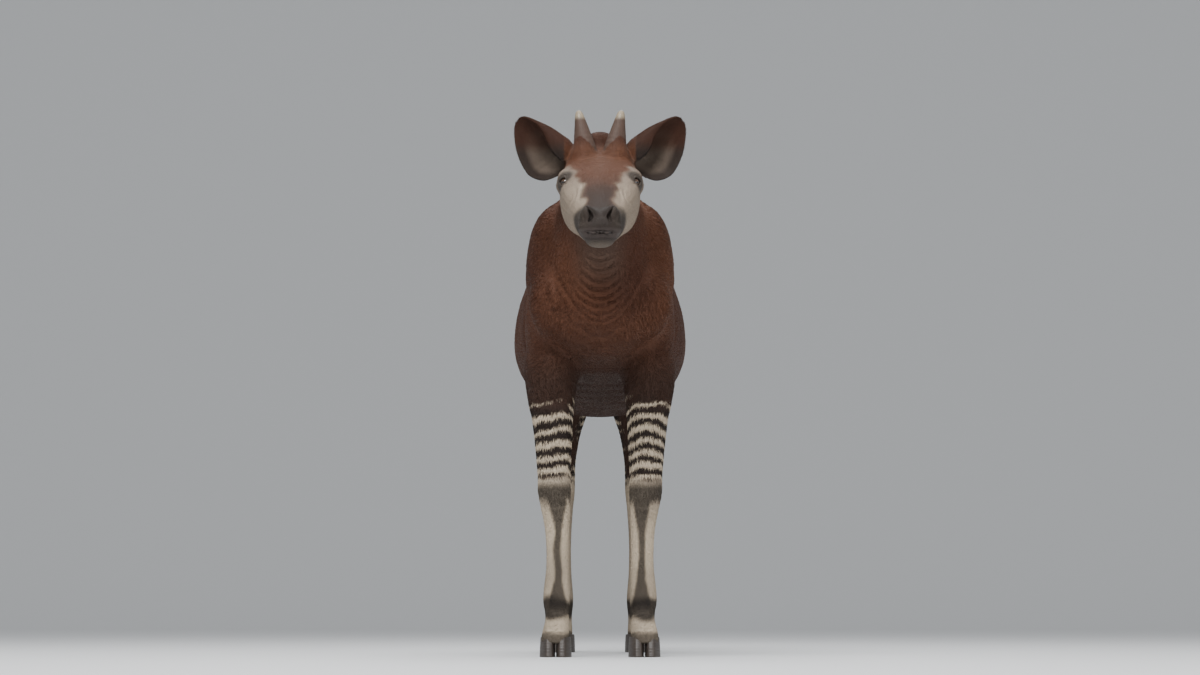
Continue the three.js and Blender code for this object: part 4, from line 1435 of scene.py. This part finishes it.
places = to_mm(vertex_places(skin.data))
store(skin, "coat", coat_colour(places))
dress(skin, COAT, "coat", *FLESH_NODES, "ear_left", "ear_right")
for side, hand in ((1, "left"), (-1, "right")):
    dress(eyes[side], EYE_GLOSS, "eye", f"eye_{hand}")
    up = to_mm(vertex_places(horns[side].data))[:, 2]
    store(horns[side], "tip", (up - HORN_BASE[2]) / (HORN_TIP[2] - HORN_BASE[2]))
    dress(horns[side], HORN_BONE, "horn", f"horn_{hand}")
for node, claw in claws.items():
    dress(claw, HOOF_HORN, "hoof", node)


# Coat: short tufts that lie along the body, and the long hair of the tail

# Lengths in mm; slimness, lift and sinking of a tuft; how often it covers the skin
COAT_ON_BODY = 17.0
SHORTER_ON_HEAD = 8.0
SHORTER_ON_THROAT = 6.0
COAT_ON_NOSE = 5.0
COAT_ON_FEET = 7.5
SHORTER_ON_EARS = 0.3
SHORTER_BY_EYES = 0.5
TUFT_SLIMNESS = 0.2
TUFT_LIFT = 0.09
TUFT_SUNK = 0.4
TUFT_SPREAD = 0.16
TONE_SPREAD = 0.09
COVER = 1.0

# A tuft is a flat four-sided lock: two corners at its root, one on its back and its tip
TUFT_FACES = [(0, 1, 2), (1, 3, 2), (3, 0, 2), (0, 3, 1)]
# Brightness of each corner: painted shade at the two root corners, painted light at the tip
TUFT_ROOT_SHADE_TIP_LIGHT = np.array([0.9, 0.9, 1.0, 1.12])
TUFT_ON_MAP = [(-1, -1), (1, -1), (0, 0), (0, 1)]
BAKE_PATCH = 0.003

TAIL_HAIR = 620
LOCK_RINGS = 6
LOCK_SHAPE = np.array([0.7, 1.0, 1.0, 0.85, 0.6, 0.1])
TAIL_HAIR_ENDS = (905, 940)


def blades(name, corners, faces, colours, roots_on_map, corner_on_map):
    """One mesh of many like blades, each a small patch of the map at its root's place."""
    count, size = corners.shape[:2]
    faces = np.array(faces)
    mesh = bpy.data.meshes.new(name)
    mesh.vertices.add(count * size)
    mesh.vertices.foreach_set("co", corners.astype(np.float32).ravel())
    index = (np.arange(count)[:, None, None] * size + faces[None]).ravel()
    mesh.loops.add(len(index))
    mesh.loops.foreach_set("vertex_index", index.astype(np.int32))
    mesh.polygons.add(count * len(faces))
    mesh.polygons.foreach_set("loop_start", np.arange(0, len(index), 3, dtype=np.int32))
    mesh.update(calc_edges=True)
    piece = bpy.data.objects.new(name, mesh)
    scene.collection.objects.link(piece)
    store(piece, "coat", colours.reshape(-1, 3))
    on_map = roots_on_map[:, None] + np.array(corner_on_map)[None] * BAKE_PATCH / 2
    layer = mesh.uv_layers.new(name="OFBake")
    layer.data.foreach_set("uv", on_map.reshape(-1, 2)[index].astype(np.float32).ravel())
    return piece


def coat_length(points):
    """Length of the coat in mm: shortest on the nose and the feet."""
    side, fore, up = points.T
    length = COAT_ON_BODY - SHORTER_ON_HEAD * smooth_step(-70, 10, head_share(points))
    throat = smooth_step(130, 70, np.abs(side)) * smooth_step(80, 200, fore)
    length -= SHORTER_ON_THROAT * throat * (length > 10)
    length = length + (COAT_ON_NOSE - length) * smooth_step(640, 790, fore)
    length = length + (COAT_ON_FEET - length) * smooth_step(760, 180, up) * (fore < 340)
    length *= 1 - SHORTER_ON_EARS * (ear_axes_at(points)[0] > 0.05)
    return length * (1 - SHORTER_BY_EYES * smooth_step(60, 28, from_eye(points)))


def coat_lie(points):
    """The way the hair lies, as side, fore and up."""
    side, fore, up = points.T
    out = np.clip(side / 30, -1, 1)
    flat = np.ones_like(side)

    def towards(way, x, y, z, amount):
        target = np.column_stack([x * flat, y * flat, z * flat])
        return way + (target - way) * amount[:, None]

    head = smooth_step(-10, 40, head_share(points))
    over = smooth_step(-30, 50, 0.618 * (fore - 545) + 0.786 * (up - 1526))
    way = np.column_stack([0 * side, -flat, -0.4 * flat])
    way = towards(way, 0, -0.15, -1, smooth_step(1040, 850, up))
    way = towards(way, 0, -0.6, -0.8, smooth_step(40, 190, fore) * (up > 1150))
    way = towards(way, 0.22 * out, -0.95, -0.25, head)
    way = towards(way, 0.16 * out, -0.8, 0.55, head * over)
    way = towards(way, 0, -0.1, -1, smooth_step(-1215, -1240, fore) * (np.abs(side) < 60))
    along_ear = ear_axes_at(points)[0]
    axis = (EAR_TIP - EAR_ROOT) / 200
    way = towards(way, axis[0] * out, axis[1], axis[2], smooth_step(-0.1, 0.1, along_ear))
    wander = np.column_stack([ripple(points, 150, seed) for seed in (21, 22, 23)])
    return way + 0.14 * wander


def grow_roots(piece):
    """Seeded places all over the skin, closer together where the coat is shorter."""
    mesh = piece.data
    mesh.calc_loop_triangles()
    triangles = rows_of(mesh.loop_triangles, "vertices", 3, np.int32)
    corners = vertex_places(mesh)[triangles]
    normals = vertex_normals(mesh)[triangles]
    first, second = corners[:, 1] - corners[:, 0], corners[:, 2] - corners[:, 0]
    area = np.linalg.norm(np.cross(first, second), axis=1) / 2
    length = coat_length(to_mm(corners.mean(1))) * MM
    total = np.cumsum(area * 2 * COVER / (length**2 * TUFT_SLIMNESS))
    count = int(total[-1])
    picks = np.searchsorted(total, (np.arange(count) + random.random(count)) * total[-1] / count)
    picks = np.minimum(picks, len(area) - 1)
    a, b = np.sqrt(random.random(count)), random.random(count)
    share = np.column_stack([1 - a, a * (1 - b), a * b])[:, :, None]
    roots = (corners[picks] * share).sum(1)
    normal = (normals[picks] * share).sum(1)
    return roots, normal / np.linalg.norm(normal, axis=1)[:, None]


def bare(points):
    """Inside the nostrils and mouth, behind the lids and under the horns."""
    folded = one_side(points)
    hollow = flesh(points) + coat_depth(points) < -3.2
    hollow &= (points[:, 1] > 700) | (from_eye(points) < 30)
    axis = HORN_TIP - HORN_BASE
    along = (folded - HORN_BASE) @ axis / (axis @ axis)
    from_axis = np.linalg.norm(folded - HORN_BASE - np.outer(along, axis), axis=1)
    radius = np.interp(along, HORN_PROFILE[:, 0], HORN_PROFILE[:, 1])
    behind_lids = from_eye(points) < LID_REACH + 3.5
    hollow |= (np.abs(points[:, 2] - 1330) < 13) & (points[:, 1] > 738)
    return hollow | behind_lids | ((along > 0.05) & (from_axis < radius - 2))


def on_sides(limb, points):
    """Where a limb's places lie on its unwrap, the right limb beside the left."""
    folded = one_side(points)
    along, turn = limb.polar(folded)
    return np.column_stack([along, (turn / (2 * math.pi) + 0.5 + (points[:, 0] < 0)) / 2])


def round_spine(limb, points):
    along, turn = limb.polar(points)
    return np.column_stack([along, turn / (2 * math.pi) + 0.5])


def on_ears(points):
    along, ahead = ear_axes_at(points)
    folded = np.abs(points[:, 0])
    below = (folded - EAR_ROOT[0]) * 0.64 - (points[:, 2] - EAR_ROOT[2]) * 0.76
    turn = np.arctan2(ahead + 30, below) / (2 * math.pi) + 0.5
    return np.column_stack([along, (turn + (points[:, 0] < 0)) / 2])


def coat_regions(points):
    """Each region of the coat: its name, where it is and how it is unwrapped."""
    side, fore, up = points.T
    ears = ear_axes_at(points)[0] > 0.02
    head = (head_share(points) > 0) & ~ears
    neck = ((fore - 130) * 0.87 + (up - 1405) * 0.5 > 0) & ~head & ~ears
    tail = (fore < -1222) & (np.abs(side) < 60)
    legs = (up < 900) & ~tail & ~head
    legs_in_front = legs & (fore > -450)
    trunk = ~(ears | head | neck | tail | legs)
    regions = [
        ("coat_ears", ears, on_ears),
        ("coat_neck", neck & ~legs, lambda p: round_spine(NECK, p)),
        ("coat_tail", tail, lambda p: round_spine(TAIL, p)),
    ]
    for hand, here in (("left", side >= 0), ("right", side < 0)):
        regions += [
            (f"coat_head_{hand}", head & here, lambda p: round_spine(HEAD, p)),
            (f"coat_foreleg_{hand}", legs_in_front & here, lambda p: on_sides(FORELEG, p)),
            (f"coat_hind_leg_{hand}", legs & ~legs_in_front & here, lambda p: on_sides(HIND_LEG, p)),
            (f"coat_trunk_{hand}", trunk & here, lambda p: round_spine(TRUNK, p)),
        ]
    return regions


def make_coat():
    roots, normal = grow_roots(skin)
    kept = ~bare(to_mm(roots))
    roots, normal = roots[kept], normal[kept]
    points = to_mm(roots)
    way = coat_lie(points) * np.array([1, -1, 1])
    way += random.normal(0, TUFT_SPREAD, way.shape)
    way -= normal * (way * normal).sum(1)[:, None]
    way /= np.maximum(np.linalg.norm(way, axis=1), 1e-6)[:, None]
    across = np.cross(way, normal)
    length = coat_length(points) * MM * random.uniform(0.75, 1.25, len(points))
    half = across * (length * TUFT_SLIMNESS * random.uniform(0.35, 0.65, len(points)))[:, None]
    lift = normal * (length * TUFT_LIFT * random.uniform(0.5, 1.3, len(points)))[:, None]
    sunk = roots - normal * (TUFT_SUNK * MM)
    along = way * length[:, None]
    back, tip = roots + along * 0.4 + lift, roots + along + lift * 0.6
    corners = np.stack([sunk - half, sunk + half, back, tip], axis=1)
    # Each tuft's own random tone, times painted shade at its root and painted light at its tip
    tone_and_root_shade = random.normal(1, TONE_SPREAD, (len(points), 1, 1)) * TUFT_ROOT_SHADE_TIP_LIGHT[None, :, None]
    colours = np.clip(coat_colour(points)[:, None] * np.clip(tone_and_root_shade, 0.5, 1.6), 0.003, 0.92)
    for name, here, unwrap in coat_regions(points):
        on_map = 0.01 + 0.98 * np.clip(unwrap(points[here]), 0, 1)
        piece = blades(name, corners[here], TUFT_FACES, colours[here], on_map, TUFT_ON_MAP)
        dress(piece, HAIR, "coat")


def strands(name, paths, half_widths, outward, colours, on_map):
    """Long hair: three-sided tapered locks along their paths."""
    count, rings = paths.shape[:2]
    run = np.gradient(paths, axis=1)
    run /= np.linalg.norm(run, axis=2)[:, :, None]
    across = np.cross(run, outward[:, None])
    across /= np.linalg.norm(across, axis=2)[:, :, None]
    rise = np.cross(across, run)
    width = half_widths[:, :, None]
    sides = [paths - across * width, paths + across * width, paths + rise * width * 0.8]
    section = np.stack(sides, axis=2)
    corners = np.concatenate([section[:, :-1].reshape(count, -1, 3), paths[:, -1:]], axis=1)
    faces = [(0, 2, 1)]
    for ring in range(rings - 2):
        for k in range(3):
            a, b = ring * 3 + k, ring * 3 + (k + 1) % 3
            faces += [(a, b, b + 3), (a, b + 3, a + 3)]
    last = (rings - 2) * 3
    faces += [(last + k, last + (k + 1) % 3, last + 3) for k in range(3)]
    tones = np.repeat(colours, 3, axis=1)[:, :corners.shape[1]]
    spread = [((k % 3) - 1, 2 * (k // 3) / (rings - 1) - 1) for k in range(corners.shape[1])]
    return blades(name, corners, faces, tones, on_map, spread)


def make_tail_hair():
    """The tuft that hangs from the end of the tail."""
    up = random.uniform(940, 1100, TAIL_HAIR)
    turn = random.uniform(0, 2 * math.pi, TAIL_HAIR)
    _, places, heights, *_ = zip(*TAIL_SECTIONS[::-1])
    fore = np.interp(up, heights, places)
    radius = np.interp(up, [928, 1034, 1096], [6, 13, 10])
    out = np.column_stack([np.cos(turn), np.sin(turn), 0 * turn])
    root = np.column_stack([0 * turn, fore, up]) + out * radius[:, None]
    length = np.minimum(random.uniform(90, 150, TAIL_HAIR), up - random.uniform(*TAIL_HAIR_ENDS, TAIL_HAIR))
    share = np.linspace(0, 1, LOCK_RINGS)[None, :, None]
    sway = random.normal(0, 5.0, (TAIL_HAIR, 1, 3)) * np.array([1, 1, 0])
    paths = root[:, None] + out[:, None] * 9 * np.sin(share * 2.2) + sway * share**2
    paths[:, :, 2] -= (length[:, None, None] * share)[:, :, 0]
    half = random.uniform(0.9, 1.9, (TAIL_HAIR, 1)) * MM * LOCK_SHAPE
    tone_and_root_shade = random.uniform(0.6, 1.7, (TAIL_HAIR, 1, 1))
    # Lighter from root to end of each lock: painted shade at the roots of the tuft, painted light at its
    # ends
    tone_and_root_shade = tone_and_root_shade * np.linspace(0.9, 1.3, LOCK_RINGS)[None, :, None]
    flat = to_metres(paths.reshape(-1, 3)).reshape(paths.shape)
    on_map = 0.01 + 0.98 * np.clip(round_spine(TAIL, root), 0, 1)
    outward = out * np.array([1, -1, 1])
    dress(strands("tail_tuft", flat, half, outward, BLACK * 1.4 * tone_and_root_shade, on_map), HAIR, "coat")


make_coat()
make_tail_hair()


# Floor, light and camera


def make_floor():
    """A level floor that curves up into a wall behind the animal."""
    turn_starts, radius, steps = 14.0, 7.0, 24
    depth = [(-40.0, 0.0), (turn_starts, 0.0)]
    for i in range(1, steps + 1):
        angle = math.pi / 2 * i / steps
        depth.append((turn_starts + radius * math.sin(angle), radius * (1 - math.cos(angle))))
    depth.append((turn_starts + radius, 24.0))
    vertices = [(x, y, z) for y, z in depth for x in (-40.0, 40.0)]
    faces = [(2 * i, 2 * i + 1, 2 * i + 3, 2 * i + 2) for i in range(len(depth) - 1)]
    floor = mesh_object("studio_floor", vertices, faces)
    shader = Shader("studio_grey", base_color=(0.80, 0.81, 0.82, 1), roughness=0.9)
    floor.data.materials.append(shader.material)
    shade_smooth(floor)


def add_light(name, place, target, size, power, colour=(1, 1, 1)):
    light = bpy.data.lights.new(name, "AREA")
    light.shape = "RECTANGLE"
    light.size, light.size_y = size
    light.energy = power
    light.color = colour
    lamp = bpy.data.objects.new(name, light)
    lamp.location = place
    lamp.rotation_euler = (Vector(target) - Vector(place)).to_track_quat("-Z", "Y").to_euler()
    scene.collection.objects.link(lamp)


def make_world(level):
    world = bpy.data.worlds.new("studio")
    world.use_nodes = True
    background = world.node_tree.nodes["Background"]
    background.inputs[0].default_value = (0.96, 0.98, 1.0, 1)
    background.inputs[1].default_value = level
    scene.world = world


def make_camera():
    camera = bpy.data.cameras.new("photo_camera")
    camera.lens = LENS
    camera.sensor_width = SENSOR
    pitch = math.atan(HORIZON_BELOW_CENTRE / (LENS / SENSOR * PHOTO_WIDTH))
    holder = bpy.data.objects.new("photo_camera", camera)
    fore_hooves = -MIDDLE_TO_FORE_HOOVES * MM
    holder.location = (0, fore_hooves - CAMERA_DISTANCE, CAMERA_HEIGHT)
    holder.rotation_euler = (math.pi / 2 + pitch, 0, 0)
    scene.collection.objects.link(holder)
    scene.camera = holder


make_floor()
make_world(0.5)
add_light("key", (-1.2, -4.6, 5.6), (0, -0.3, 1.0), (3.4, 2.4), 400)
add_light("fill", (3.8, -4.2, 2.4), (0, -0.2, 1.0), (3.0, 3.0), 70)
add_light("top", (0, 0.6, 5.4), (0, 0.2, 1.0), (3.5, 4.0), 150)
make_camera()
